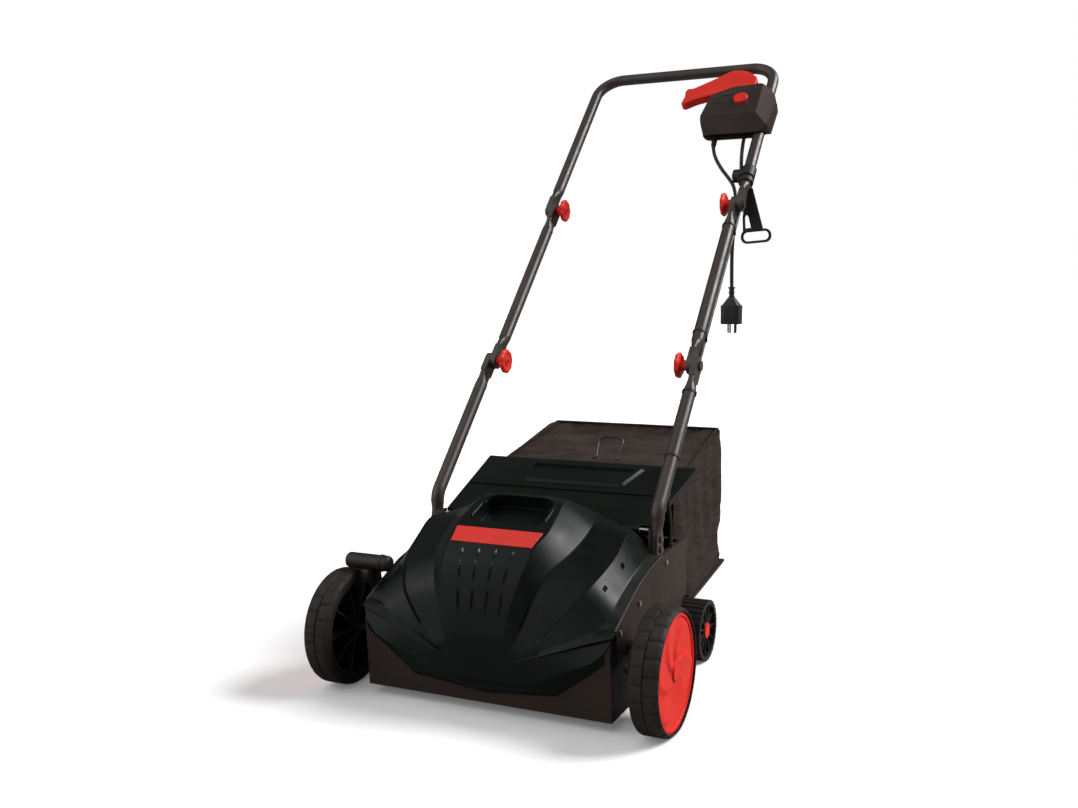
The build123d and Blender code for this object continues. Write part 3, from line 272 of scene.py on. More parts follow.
def painted(name, dark, light, rough, coat):
    """Powder-coated steel with orange peel under a gloss."""
    made, tree, shader = new_material(name, rough, coat=coat)
    tone = ramp(tree, noise(tree, 14, 4), 0.35, 0.7, (*dark, 1), (*light, 1))
    tree.links.new(worn_edges(tree, tone, (0.10, 0.08, 0.07, 1), 0.3), shader.inputs["Base Color"])
    tree.links.new(spread(tree, noise(tree, 60, 3), rough - 0.05, rough + 0.08), shader.inputs["Roughness"])
    bump(tree, shader, noise(tree, 260, 2), 0.25, 0.00008)
    return made


def rubber(name, tone, rough, grain=500.0, spec=0.35):
    made, tree, shader = new_material(name, rough, spec=spec)
    pale = tuple(c * 1.7 + 0.004 for c in tone)
    dusty = ramp(tree, noise(tree, 22, 6), 0.38, 0.72, (*tone, 1), (*pale, 1))
    tree.links.new(worn_edges(tree, dusty, (0.07, 0.06, 0.055, 1), 0.3), shader.inputs["Base Color"])
    tree.links.new(spread(tree, noise(tree, 40, 4), rough - 0.1, rough + 0.1), shader.inputs["Roughness"])
    bump(tree, shader, noise(tree, grain, 3), 0.5, 0.00012)
    return made


def bare_metal(name, tone, rough, stretch=(1, 1, 1)):
    made, tree, shader = new_material(name, rough, metal=1.0)
    dull = tuple(c * 0.6 for c in tone)
    color = ramp(tree, noise(tree, 30, 6), 0.3, 0.7, (*dull, 1), (*tone, 1))
    scratches = spread(tree, noise(tree, 180, 3, stretch), rough - 0.08, rough + 0.12)
    tree.links.new(color, shader.inputs["Base Color"])
    tree.links.new(scratches, shader.inputs["Roughness"])
    bump(tree, shader, noise(tree, 420, 2, stretch), 0.3, 0.00005)
    return made


def woven(name, dark, light, pitch):
    """Coarse synthetic mesh: a plain weave with slubs, taken from the surface's own place."""
    made, tree, shader = new_material(name, 0.85, spec=0.08, sheen=0.04)
    turns = pi / (10 * pitch)     # a band texture's scale for one thread per pitch
    picks = []
    for direction, turn in (("Z", (0, 0, 0)), ("X", (0, 0, pi / 4))):
        wave = tree.nodes.new("ShaderNodeTexWave")
        wave.wave_type = "BANDS"
        wave.bands_direction = direction
        wave.inputs["Scale"].default_value = turns
        wave.inputs["Distortion"].default_value = 0.6
        wave.inputs["Detail"].default_value = 1.5
        wave.inputs["Detail Scale"].default_value = 1.2
        tree.links.new(place_coords(tree, (1, 1, 1), turn), wave.inputs["Vector"])
        picks.append(wave.outputs["Fac"])
    both = tree.nodes.new("ShaderNodeMath")
    both.operation = "MAXIMUM"
    for socket, pick in zip(both.inputs, picks):
        tree.links.new(pick, socket)
    thread = both.outputs["Value"]
    slub = noise(tree, 60, 5, (0.35, 0.35, 2.4))
    tone = ramp(tree, slub, 0.32, 0.72, (*dark, 1), (*light, 1))
    gap = tuple(c * 0.45 for c in dark)
    tree.links.new(blend_colors(tree, thread, (*gap, 1), tone), shader.inputs["Base Color"])
    bump(tree, shader, thread, 0.7, 0.0006)
    bump(tree, shader, noise(tree, 35, 4), 0.35, 0.0012)
    return made


def make_materials():
    black = ((0.010, 0.0075, 0.0062), (0.018, 0.0135, 0.0115))
    brown = ((0.020, 0.0130, 0.0098), (0.033, 0.0215, 0.0165))
    green_black = ((0.0018, 0.0034, 0.0023), (0.0036, 0.0060, 0.0043))
    flag_red = ((0.56, 0.030, 0.022), (0.64, 0.042, 0.032))
    signal_red = ((0.68, 0.020, 0.011), (0.80, 0.030, 0.018))
    espresso = ((0.020, 0.0118, 0.0090), (0.032, 0.020, 0.0160))
    made = {
        "housing": moulded("housing", *brown, 0.55, spec=0.2),
        "hood": moulded("hood", *green_black, 0.36, wear=0.08, spec=0.16),
        "badge": moulded(
            "badge", *flag_red, 0.34, grain=400, grain_depth=0.00002, coat=0.1, wear=0.0, spec=0.3,
        ),
        "orange_red": moulded(
            "orange_red", *signal_red, 0.42, grain=700, grain_depth=0.00003, wear=0.1, spec=0.2,
        ),
        "tyre": rubber("tyre", (0.013, 0.0092, 0.0075), 0.66, spec=0.2),
        "black_plastic": moulded("black_plastic", *black, 0.48, spec=0.3),
        "tube_paint": painted("tube_paint", *espresso, 0.42, 0.04),
        "steel_painted": painted("steel_painted", *black, 0.38, 0.1),
        "zinc": bare_metal("zinc", (0.5, 0.5, 0.48), 0.36),
        "alloy": bare_metal("alloy", (0.58, 0.58, 0.57), 0.42),
        "lamination": bare_metal("lamination", (0.30, 0.24, 0.18), 0.5, (1, 14, 14)),
        "belt": rubber("belt", (0.008, 0.008, 0.008), 0.7),
        "cable": rubber("cable", (0.006, 0.0055, 0.005), 0.45, 300),
        "bag_fabric": woven("bag_fabric", (0.022, 0.0140, 0.0112), (0.056, 0.0380, 0.0315), 0.0028),
    }
    return made


def dress(piece, slot_name, materials):
    piece.data.materials.clear()
    piece.data.materials.append(materials[slot_name])


# ---------------------------------------------------------------- mesh helpers
def smooth(mesh, angle=30.0):
    mesh.shade_smooth()
    mesh.set_sharp_from_angle(angle=radians(angle))


def mesh_of(name, points, faces):
    mesh = bpy.data.meshes.new(name)
    mesh.from_pydata([tuple(p) for p in points], [], faces)
    mesh.validate()
    shape = bmesh.new()
    shape.from_mesh(mesh)
    bmesh.ops.remove_doubles(shape, verts=shape.verts, dist=1e-6)
    bmesh.ops.recalc_face_normals(shape, faces=shape.faces)
    shape.to_mesh(mesh)
    shape.free()
    return mesh


def round_edges(piece, width, segments=3, angle=28.0):
    """Bevel every edge sharper than the angle, and shade the faces smooth between them."""
    bevel = piece.modifiers.new("edges", "BEVEL")
    bevel.width = width * MM
    bevel.segments = segments
    bevel.limit_method = "ANGLE"
    bevel.angle_limit = radians(angle)
    bevel.harden_normals = True
    bevel.use_clamp_overlap = True
    smooth(piece.data, 40)


def apply_modifiers(piece):
    """Turn the piece into its evaluated mesh."""
    graph = bpy.context.evaluated_depsgraph_get()
    graph.update()
    made = bpy.data.meshes.new_from_object(piece.evaluated_get(graph))
    piece.modifiers.clear()
    piece.data = made


def soften(node, width, materials, segments=2, angle=32.0, slot_name=None):
    """A copy of a CAD node with rounded edges, standing for it."""
    source = frame["nodes"][node]
    mesh = source.data.copy()
    shape = bmesh.new()
    shape.from_mesh(mesh)
    bmesh.ops.remove_doubles(shape, verts=shape.verts, dist=1e-5)
    bmesh.ops.dissolve_limit(shape, angle_limit=radians(0.8), verts=shape.verts, edges=shape.edges)
    shape.to_mesh(mesh)
    shape.free()
    piece = link(node + "_shaped", mesh)
    round_edges(piece, width, segments, angle)
    dress(piece, slot_name or SLOT[node], materials)
    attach(piece, BODY[node])
    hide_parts(node)
    return piece


def through(points, steps):
    """Points on a smooth curve that passes through all the given ones."""
    count = len(points)
    gaps = [max((points[k + 1] - points[k]).length, 1e-9) for k in range(count - 1)]
    slopes = []
    for k in range(count):
        if k == 0:
            slopes.append((points[1] - points[0]) / gaps[0])
        elif k == count - 1:
            slopes.append((points[-1] - points[-2]) / gaps[-1])
        else:
            before = (points[k] - points[k - 1]) / gaps[k - 1]
            after = (points[k + 1] - points[k]) / gaps[k]
            share = gaps[k - 1] / (gaps[k - 1] + gaps[k])
            slopes.append(before * (1 - share) + after * share)
    made = []
    for k in range(count - 1):
        for step in range(steps):
            t = step / steps
            h00 = 2 * t ** 3 - 3 * t ** 2 + 1
            h10 = t ** 3 - 2 * t ** 2 + t
            h01 = 3 * t ** 2 - 2 * t ** 3
            h11 = t ** 3 - t ** 2
            places = points[k] * h00 + points[k + 1] * h01
            made.append(places + slopes[k] * (h10 * gaps[k]) + slopes[k + 1] * (h11 * gaps[k]))
    made.append(points[-1])
    return made


def cut(piece, tool_mesh, name="cut"):
    """Boolean difference with a closed mesh, which is then removed."""
    tool = link(name + "_tool", tool_mesh)
    boolean = piece.modifiers.new(name, "BOOLEAN")
    boolean.operation = "DIFFERENCE"
    boolean.solver = "EXACT"
    boolean.object = tool
    apply_modifiers(piece)
    bpy.data.objects.remove(tool)


def slab(name, outline, direction, rounding=0.0, steps=4):
    """Closed prism: an outline of points pushed along a direction, with rounded corners."""
    loop = list(outline)
    if rounding:
        loop = rounded_loop(loop, rounding, steps)
    count = len(loop)
    points = loop + [p + direction for p in loop]
    faces = [tuple(range(count)), tuple(range(2 * count - 1, count - 1, -1))]
    for k in range(count):
        n = (k + 1) % count
        faces.append((k, k + count, n + count, n))
    return mesh_of(name, points, faces)


def rounded_loop(loop, rounding, steps=4):
    made = []
    count = len(loop)
    for k in range(count):
        corner, before, after = loop[k], loop[k - 1], loop[(k + 1) % count]
        back, ahead = (before - corner), (after - corner)
        reach = min(rounding, back.length * 0.45, ahead.length * 0.45)
        start, end = corner + back.normalized() * reach, corner + ahead.normalized() * reach
        for step in range(steps + 1):
            t = step / steps
            made.append(start * (1 - t) ** 2 + corner * (2 * t * (1 - t)) + end * t ** 2)
    return made


# ---------------------------------------------------------------- hood
# Sections from the nose back: y, then half the outline as (x, z) pairs: nose edge, bevel foot, shoulder,
# side foot, flange edge.
HOOD = [
    (-60, (40, 116), (50, 104), (66, 96), (84, 82), (92, 74)),
    (-50, (52, 176), (68, 147), (108, 140), (158, 122), (190, 118)),
    (-34, (66, 224), (84, 192), (136, 172), (176, 144), (205, 146)),
    (-15, (68, 244), (94, 214), (148, 190), (187, 162), (205, 155)),
    (21, (76, 263), (108, 233), (162, 212), (188, 179), (205, 171)),
    (60, (74, 280), (114, 248), (168, 230), (189, 195), (205, 187)),
    (108, (68, 297), (114, 267), (168, 254), (190, 208), (205, 199)),
    (140, (64, 288), (106, 274), (166, 252), (190, 213), (205, 204)),
    (162, (62, 256), (104, 252), (160, 244), (190, 216), (205, 208)),
]
CHIN = [
    (-60, (92, 74), (80, 62), (42, 60), (0, 60)),
    (-50, (190, 118), (180, 104), (116, 56), (0, 42)),
    (-34, (205, 146), (205, 100), (116, 40), (0, 30)),
]
ROWS_PER_STEP = 5         # rows of the hood's mesh between two sections
CREASE = 1.6              # half the width of a rounded crease
SUNK = ((2, 1), (3, -1))   # the crease sides that border the sunken panel between the bands
STEP = 3.5                # how deep that panel lies
BADGE_SLOPE = atan2(297 - 263, 108 - 21)
TOP_NORMAL = Vector((0, -sin(BADGE_SLOPE), cos(BADGE_SLOPE)))
RECESS = [(-58, 33), (58, 33), (57, 92), (40, 104), (-40, 104), (-57, 92)]


def top_point(x, y, lift=0.0):
    """A point on the flat top behind the badge, lifted off it by some millimetres."""
    return at(x, y, 263 + (y - 21) * (297 - 263) / (108 - 21)) + TOP_NORMAL * (lift * MM)


def hood_strips():
    """Lines of points from the nose back, from the left edge to the right one, doubled at the creases."""
    columns = []
    for k in range(1, 6):
        line = [at(row[k][0], row[0], row[k][1]) for row in HOOD]
        columns.append(through(line[:-1], ROWS_PER_STEP) + [line[-1]])
    middle = [Vector((0, p.y, p.z + 1.5 * MM)) for p in columns[0]]
    lines = [middle] + columns
    half = [middle]
    for k in range(1, len(lines) - 1):
        for side in (-1, 1):
            beside = lines[k + side]
            made = [p + (q - p).normalized() * CREASE * MM for p, q in zip(lines[k], beside)]
            if (k, side) in SUNK:
                made = [p + d * STEP * MM for p, d in zip(made, inward(lines, k))]
            half.append(made)
    half.append(lines[-1])
    mirrored = [[Vector((-p.x, p.y, p.z)) for p in line] for line in reversed(half[1:])]
    return mirrored + half


def inward(lines, k):
    """Into the hood, at each point of one of its lines."""
    made = []
    rows = len(lines[k])
    for r in range(rows):
        along = lines[k][min(r + 1, rows - 1)] - lines[k][max(r - 1, 0)]
        across = lines[k + 1][r] - lines[k - 1][r]
        fade = min(1.0, r / 4, (rows - 1 - r) / 4)
        made.append(along.cross(across).normalized() * fade)
    return made


def hood_shell(strips):
    rows, width = len(strips[0]), len(strips)
    points = [strips[c][r] for r in range(rows) for c in range(width)]
    faces = []
    for r in range(rows - 1):
        for c in range(width - 1):
            a = r * width + c
            faces.append((a, a + 1, a + width + 1, a + width))
    # the chin under the nose, down to the lower edge of the front
    grid = []
    for y, *row in CHIN:
        right = [at(x, y, z) for x, z in row]
        left = [Vector((-p.x, p.y, p.z)) for p in right]
        grid.append(left + right[::-1][1:])
    start, wide = len(points), len(grid[0])
    for row in grid:
        points.extend(row)
    for r in range(len(grid) - 1):
        for c in range(wide - 1):
            a = start + r * wide + c
            faces.append((a, a + wide, a + wide + 1, a + 1))
    # the nose's blunt front, between its first section and the chin
    front = [line[0] for line in strips] + grid[0][::-1][1:-1]
    start = len(points)
    points.extend(front)
    faces.append(tuple(range(start, start + len(front))))
    return mesh_of("hood_shell", points, faces)


def build_hood(materials):
    strips = hood_strips()
    hood = link("hood_shell", hood_shell(strips))
    thick = hood.modifiers.new("wall", "SOLIDIFY")
    thick.thickness = 2.6 * MM
    thick.offset = -1
    apply_modifiers(hood)
    rim = [top_point(x, y) for x, y in RECESS]
    tool = slab("recess_cut", [p + TOP_NORMAL * 0.02 for p in rim], TOP_NORMAL * -0.034, 8 * MM)
    cut(hood, tool, "recess")
    for sign in (-1, 1):
        for low, high in BAND_SLOTS:
            cut(hood, band_slot(sign, low, high), "slot")
    smooth(hood.data, 40)
    weigh_normals(hood)
    finish_piece(hood, "hood", "chassis", materials)
    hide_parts("hood")
    make_recess(rim, materials)
    make_wings(hood, materials)
    for side, sign in (("left", -1), ("right", 1)):
        edge = [at(sign * (row[5][0] - 2.4), row[0], row[5][1] + 0.8) for row in HOOD[2:]]
        strip = tube_along("hood_edge_" + side, edge, 2.2 * MM, 10)
        finish_piece(strip, "housing", "chassis", materials)
    return strips


BAND_SLOTS = [((166, 10, 200), (178, 10, 190)), ((172, 62, 222), (183, 62, 208))]


def band_slot(sign, low, high):
    """A short slot across the outer band, as a closed tool mesh."""
    a, b = at(sign * low[0], low[1], low[2]), at(sign * high[0], high[1], high[2])
    long = Vector((0, 4.5 * MM, 1.5 * MM))
    out = (b - a).cross(long).normalized() * 0.02
    middle, reach = (a + b) / 2, (b - a) * 0.22
    loop = [middle - reach - long, middle + reach - long, middle + reach + long, middle - reach + long]
    return slab("slot", [p + out for p in loop], out * -2)


def weigh_normals(piece):
    weigh = piece.modifiers.new("weigh", "WEIGHTED_NORMAL")
    weigh.weight = 100
    weigh.keep_sharp = True


def finish_piece(piece, slot_name, body, materials):
    dress(piece, slot_name, materials)
    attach(piece, body)


def make_recess(rim, materials):
    """The hand hollow's walls and floor, and the raised double rim behind it."""
    depth = 19 * MM
    loop = rounded_loop(rim, 8 * MM)
    count = len(loop)
    floor = [p - TOP_NORMAL * depth for p in loop]
    walls = [p + TOP_NORMAL * 0.0008 for p in loop] + floor
    sides = [(k, (k + 1) % count, (k + 1) % count + count, k + count) for k in range(count)]
    sides.append(tuple(range(2 * count - 1, count - 1, -1)))
    pan = link("hood_recess", mesh_of("hood_recess", walls, sides))
    skin = pan.modifiers.new("wall", "SOLIDIFY")
    skin.thickness = 2.0 * MM
    skin.offset = 1
    apply_modifiers(pan)
    round_edges(pan, 0.8, 2)
    finish_piece(pan, "hood", "chassis", materials)
    for name, grow, lift, radius in (("rim_inner", 1.5, 1.2, 2.6), ("rim_outer", 8.5, -3.0, 3.2)):
        run = []
        for sign in (-1, 1):
            side = [(60 + grow, 44), (59 + grow, 94 + grow * 0.4), (42 + grow * 0.5, 105 + grow)]
            run += [top_point(sign * x, y, lift) for x, y in (side if sign < 0 else side[::-1])]
        made = tube_along("hood_" + name, rounded_run(run, 9 * MM), radius * MM, 10)
        finish_piece(made, "hood", "chassis", materials)


def rounded_run(run, rounding, steps=4):
    """An open run of points with its corners rounded."""
    made = [run[0]]
    for before, corner, after in zip(run, run[1:], run[2:]):
        back, ahead = before - corner, after - corner
        reach = min(rounding, back.length * 0.45, ahead.length * 0.45)
        start, end = corner + back.normalized() * reach, corner + ahead.normalized() * reach
        for step in range(steps + 1):
            t = step / steps
            made.append(start * (1 - t) ** 2 + corner * (2 * t * (1 - t)) + end * t ** 2)
    return made + [run[-1]]


WING = [(203, 152, 16), (172, 145, 19), (136, 130, 15), (98, 113, 10), (62, 96, 2)]


def make_wings(hood, materials):
    """Raised blades that run from the hood's widest corners in under the nose."""
    for side, sign in (("left", -1), ("right", 1)):
        lines = [[], [], [], []]
        for x, z, tall in WING:
            section = ((0, -1.5), (-0.05 * tall, 1.5), (-0.7 * tall, 7.0), (-tall, -1.5))
            for k, (rise, out) in enumerate(section):
                start = at(sign * x, -140, z + rise)
                hit, place, normal = hood.ray_cast(start, Vector((0, 1, 0)))[:3]
                if not hit:
                    place = at(sign * x, -36, z + rise)
                lines[k].append(place + Vector((0, -out * MM, 0)))
        count = len(WING)
        points = [p for line in lines for p in line]
        faces = []
        for k in range(4):
            n = (k + 1) % 4
            for j in range(count - 1):
                faces.append((k * count + j, k * count + j + 1, n * count + j + 1, n * count + j))
        faces.append(tuple(k * count for k in range(4)))
        faces.append(tuple(k * count + count - 1 for k in reversed(range(4))))
        blade = link("hood_wing_" + side, mesh_of("hood_wing_" + side, points, faces))
        round_edges(blade, 1.0, 2)
        finish_piece(blade, "hood", "chassis", materials)


def nose_place(strips, x, t):
    """Point, normal and direction on the nose: x in mm, t from 0 at its foot to 1 at the badge."""
    middle = strips[len(strips) // 2]
    edge = strips[len(strips) // 2 + 1]
    rows = 3 * ROWS_PER_STEP
    f = t * rows
    k = min(int(f), rows - 1)
    share = f - k
    a = middle[k].lerp(middle[k + 1], share)
    b = edge[k].lerp(edge[k + 1], share)
    along = (middle[k + 1] - middle[k]).normalized()
    place = a + (b - a) * (abs(x) * MM / max(b.x, 1e-6))
    normal = Vector((0, -along.z, along.y))
    return Vector((x * MM, place.y, place.z)), normal, along


def make_ribs(strips, materials):
    points, faces = [], []
    tiers = ((0.20, 0.42), (0.47, 0.68), (0.74, 0.94))
    for tier, (low, high) in enumerate(tiers):
        for column in range(4):
            x = (column - 1.5) * (27 - 2 * (2 - tier))
            steps = 12
            start = len(points)
            for step in range(steps + 1):
                u = step / steps
                lean = (u - 0.5) * 2.0 * (column - 1.5)
                place, normal, along = nose_place(strips, x + lean, low + (high - low) * u)
                bulge = sin(pi * u) ** 0.8
                half = 0.4 + 3.2 * bulge * (1 - 0.35 * u)
                high_by = 0.2 + 2.3 * bulge
                side = Vector((1, 0, 0))
                inward = -normal * 0.6 * MM
                points.append(place - side * half * MM + inward)
                points.append(place + normal * high_by * MM)
                points.append(place + side * half * MM + inward)
            for step in range(steps):
                a = start + 3 * step
                faces.append((a, a + 1, a + 4, a + 3))
                faces.append((a + 1, a + 2, a + 5, a + 4))
                faces.append((a, a + 3, a + 5, a + 2))
            faces.append((start, start + 2, start + 1))
            end = start + 3 * steps
            faces.append((end, end + 1, end + 2))
    ribs = link("hood_ribs", mesh_of("hood_ribs", points, faces))
    smooth(ribs.data, 50)
    dress(ribs, "hood", materials)
    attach(ribs, "chassis")


def tube_along(name, line, radius, sides=10):
    """Closed tube along a polyline, with mitred corners."""
    points, faces = [], []
    count = len(line)
    previous = None
    for k, p in enumerate(line):
        ahead = (line[min(k + 1, count - 1)] - line[max(k - 1, 0)]).normalized()
        if previous is None:
            guess = Vector((0, 0, 1)) if abs(ahead.z) < 0.9 else Vector((1, 0, 0))
            across = ahead.cross(guess).normalized()
        else:
            across = (previous - ahead * previous.dot(ahead)).normalized()
        previous = across
        other = ahead.cross(across)
        for j in range(sides):
            a = 2 * pi * j / sides
            points.append(p + across * (radius * cos(a)) + other * (radius * sin(a)))
    for k in range(count - 1):
        for j in range(sides):
            n = (j + 1) % sides
            faces.append((k * sides + j, k * sides + n, (k + 1) * sides + n, (k + 1) * sides + j))
    faces.append(tuple(range(sides - 1, -1, -1)))
    faces.append(tuple((count - 1) * sides + j for j in range(sides)))
    piece = link(name, mesh_of(name, points, faces))
    smooth(piece.data, 50)
    return piece


# ---------------------------------------------------------------- flap
def flap_point(x, reach, lift=0.0):
    """A point x across the flap, reach from its hinge and lift above its middle."""
    y = FLAP_PIN[0] + reach * cos(FLAP_SLOPE) - lift * sin(FLAP_SLOPE)
    z = FLAP_PIN[1] + reach * sin(FLAP_SLOPE) + lift * cos(FLAP_SLOPE)
    return at(x, y, z)


def trapezoid(wide, narrow, low, high, lift):
    corners = [(-narrow, low), (narrow, low), (wide, high), (-wide, high)]
    return rounded_loop([flap_point(x, reach, lift) for x, reach in corners], 7 * MM)


def make_grip(materials):
    """The raised frame round the flap's grip hollow."""
    loops = [
        trapezoid(112, 92, 121, 194, 3.6), trapezoid(106, 87, 126, 190, 8.0),
        trapezoid(97, 79, 133, 185, 8.0), trapezoid(95, 77, 135, 183, 1.2),
    ]
    count = len(loops[0])
    points = [p for loop in loops for p in loop]
    faces = []
    for k in range(3):
        for j in range(count):
            n = (j + 1) % count
            faces.append((k * count + j, k * count + n, (k + 1) * count + n, (k + 1) * count + j))
    faces.append(tuple(range(3 * count, 4 * count)))
    faces.append(tuple(range(count - 1, -1, -1)))
    grip = link("flap_grip", mesh_of("flap_grip", points, faces))
    round_edges(grip, 1.2, 3, 20)
    finish_piece(grip, SLOT["flap"], "flap", materials)
    bar = [flap_point(x, reach, 3.7) for x, reach in ((-184, 100), (184, 100), (185, 108), (-185, 108))]
    ledge = link("flap_ledge", slab("flap_ledge", bar, flap_point(0, 0, 2.2) - flap_point(0, 0), 2 * MM))
    round_edges(ledge, 0.9, 3, 20)
    finish_piece(ledge, SLOT["flap"], "flap", materials)


# ---------------------------------------------------------------- wheels
def turned(name, center, out, profile, steps, shape=None):
    """Turn a closed profile of (along the axle, radius) points in mm about the axle."""
    points, faces = [], []
    count = len(profile)
    for j in range(steps):
        angle = 2 * pi * j / steps
        for x, radius in profile:
            if shape:
                radius = shape(x, radius, j)
            points.append(center + Vector((out * x, radius * cos(angle), radius * sin(angle))) * MM)
    for j in range(steps):
        n = (j + 1) % steps
        for k in range(count):
            m = (k + 1) % count
            faces.append((j * count + k, j * count + m, n * count + m, n * count + k))
    return link(name, mesh_of(name, points, faces))


TYRE_R = 90.0
TYRE_W = 43.0
LUG_STEPS = 180


def tread(x, radius, j):
    """Shallow grooves across the tread, those of one half between those of the other."""
    if radius < TYRE_R - 3:
        return radius
    turn = 0 if x < 0 else 4
    return radius - (1.7 if (j + turn) % 8 < 1 else 0.0)


def make_tyre(side, sign, materials):
    node = "front_tyre_" + side
    low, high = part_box(node)
    center = (Vector(low) + Vector(high)) / 2
    half = TYRE_W / 2
    profile = [
        (-half + 1, 74.3), (-half, 78), (-half, 83), (-half + 1.2, 86.5), (-half + 4, 89.2),
        (-half + 7, TYRE_R),
        (-1.6, TYRE_R), (-0.8, TYRE_R - 1.4), (0.8, TYRE_R - 1.4), (1.6, TYRE_R),
        (half - 7, TYRE_R), (half - 4, 89.2), (half - 1.2, 87.0), (half, 85.5), (half, CAP_R + 0.3),
        (half - 6.3, CAP_R + 0.3), (half - 6.3, 76), (half - 7, 74.3),
    ]
    tyre = turned(node + "_shaped", center, sign, profile, LUG_STEPS, tread)
    smooth(tyre.data, 35)
    finish_piece(tyre, "tyre", BODY[node], materials)
    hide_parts(node)


KNOB = [
    (-13.2, 0.01), (-13.2, 8.5), (-5, 9.5), (-2.5, 14), (-1.5, 20), (0.5, 22), (3.5, 22), (5.2, 20.5),
    (6.2, 17), (5.0, 14), (4.6, 9), (6.6, 7.5), (7.0, 5), (7.0, 0.01),
]
KNOB_RIM = 16.0           # the hollows only reach in to this radius
KNOB_HOLLOW = 1.3
KNOB_LOBES = 9
KNOB_STEPS = 108


def lobes(x, radius, j):
    """Shallow finger hollows round the knob's rim."""
    if radius < KNOB_RIM:
        return radius
    wave = 0.5 - 0.5 * cos(2 * pi * KNOB_LOBES * j / KNOB_STEPS)
    return radius - KNOB_HOLLOW * wave ** 2


def make_knob(node, sign, materials):
    """A thin dished clamp knob on a narrow neck, on the inner side of its tube."""
    low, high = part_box(node)
    knob = turned(node + "_shaped", (Vector(low) + Vector(high)) / 2, -sign, KNOB, KNOB_STEPS, lobes)
    smooth(knob.data, 38)
    finish_piece(knob, SLOT[node], BODY[node], materials)
    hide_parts(node)


SWIRLS = 6
CAP_R = 83.4


def swirl(radius, angle):
    """Height of the cap's face: six curved blades, each rising to a sharp edge."""
    turn = angle * SWIRLS / (2 * pi) + 1.15 * radius / CAP_R
    rise = turn % 1.0
    blade = rise ** 1.5 if rise < 0.93 else (1 - rise) / 0.07
    near = min(1.0, max(0.0, (radius - 13) / 10), max(0.0, (CAP_R - 6 - radius) / 5))
    return 1.1 + 3.2 * blade * near


def make_cap(side, sign, materials):
    """The wheel's red cover, with a hub, curved blades and a plain rim."""
    node = "front_cap_" + side
    low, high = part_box(node)
    center = (Vector(low) + Vector(high)) / 2
    half = (high[0] - low[0]) / 2 / MM
    blades = [22 + 5.4 * k for k in range(1, 10)]
    radii = [0.01, 9, 12, 13, 16, 22] + blades + [73, 75, 77, 78, 81, 83, CAP_R]
    steps = 216
    points, faces = [], []
    for j in range(steps):
        angle = 2 * pi * j / steps
        for radius in radii:
            tall = swirl(radius, sign * angle)
            if radius <= 12:
                tall = 4.2
            if radius >= 78:
                tall = 3.4 if radius < 83 else 2.4
            x = -half + min(tall, 2 * half)
            points.append(center + Vector((sign * x, radius * cos(angle), radius * sin(angle))) * MM)
        points.append(center + Vector((-sign * half, CAP_R * cos(angle), CAP_R * sin(angle))) * MM)
    count = len(radii) + 1
    for j in range(steps):
        n = (j + 1) % steps
        for k in range(count - 1):
            faces.append((j * count + k, j * count + k + 1, n * count + k + 1, n * count + k))
    faces.append(tuple(j * count + count - 1 for j in range(steps)))
    faces.append(tuple(j * count for j in reversed(range(steps))))
    cap = link(node + "_shaped", mesh_of(node + "_shaped", points, faces))
    smooth(cap.data, 42)
    finish_piece(cap, SLOT[node], BODY[node], materials)
    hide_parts(node)


# ---------------------------------------------------------------- grass bag
BAG_HALF = 175.0
BAG_MOUTH = 306.0
BAG_BACK = 602.0
BULGE = 7.0               # how full the cloth is at the middle of a face
BAG_TOP = [(306, 282), (385, 307), (603, 353)]
BAG_BOTTOM = [(306, 119), (402, 81), (600, 104)]
BAG_ROWS = 26
BAG_SIDE = 14
BAG_WIDE = 24
SAG = 12.0                # how far the cloth may move, in millimetres


def level_at(line, y):
    for (y0, z0), (y1, z1) in zip(line, line[1:]):
        if y <= y1:
            return z0 + (z1 - z0) * (y - y0) / (y1 - y0)
    return line[-1][1]


def bag_ring():
    """Places round the bag's section: across from -1 to 1 and up from 0 to 1."""
    ring = [(1 - 2 * k / BAG_WIDE, 0) for k in range(BAG_WIDE)]
    ring += [(-1, k / BAG_SIDE) for k in range(BAG_SIDE)]
    ring += [(-1 + 2 * k / BAG_WIDE, 1) for k in range(BAG_WIDE)]
    ring += [(1, 1 - k / BAG_SIDE) for k in range(BAG_SIDE)]
    return ring


def bag_half(y):
    """Half the bag's width, less round its back corners."""
    past = max(0.0, y - BAG_BACK + 18)
    return BAG_HALF - past ** 2 / 40


def bag_place(y, across, up):
    """A point of the bag's skin, full at the middle of each face."""
    low, high = level_at(BAG_BOTTOM, y), level_at(BAG_TOP, y)
    reach = sin(pi * min(1.0, max(0.0, (y - BAG_MOUTH) / (BAG_BACK - BAG_MOUTH))))
    swell = BULGE * reach * sin(pi * up) if abs(across) == 1 else 0.0
    dip = 0.7 * BULGE * reach * cos(across * pi / 2) if up == 1 else 0.0
    behind = BULGE * cos(across * pi / 2) * sin(pi * up) if y == BAG_BACK else 0.0
    return at((bag_half(y) + swell) * across, y + behind, low + (high - low) * up - dip)


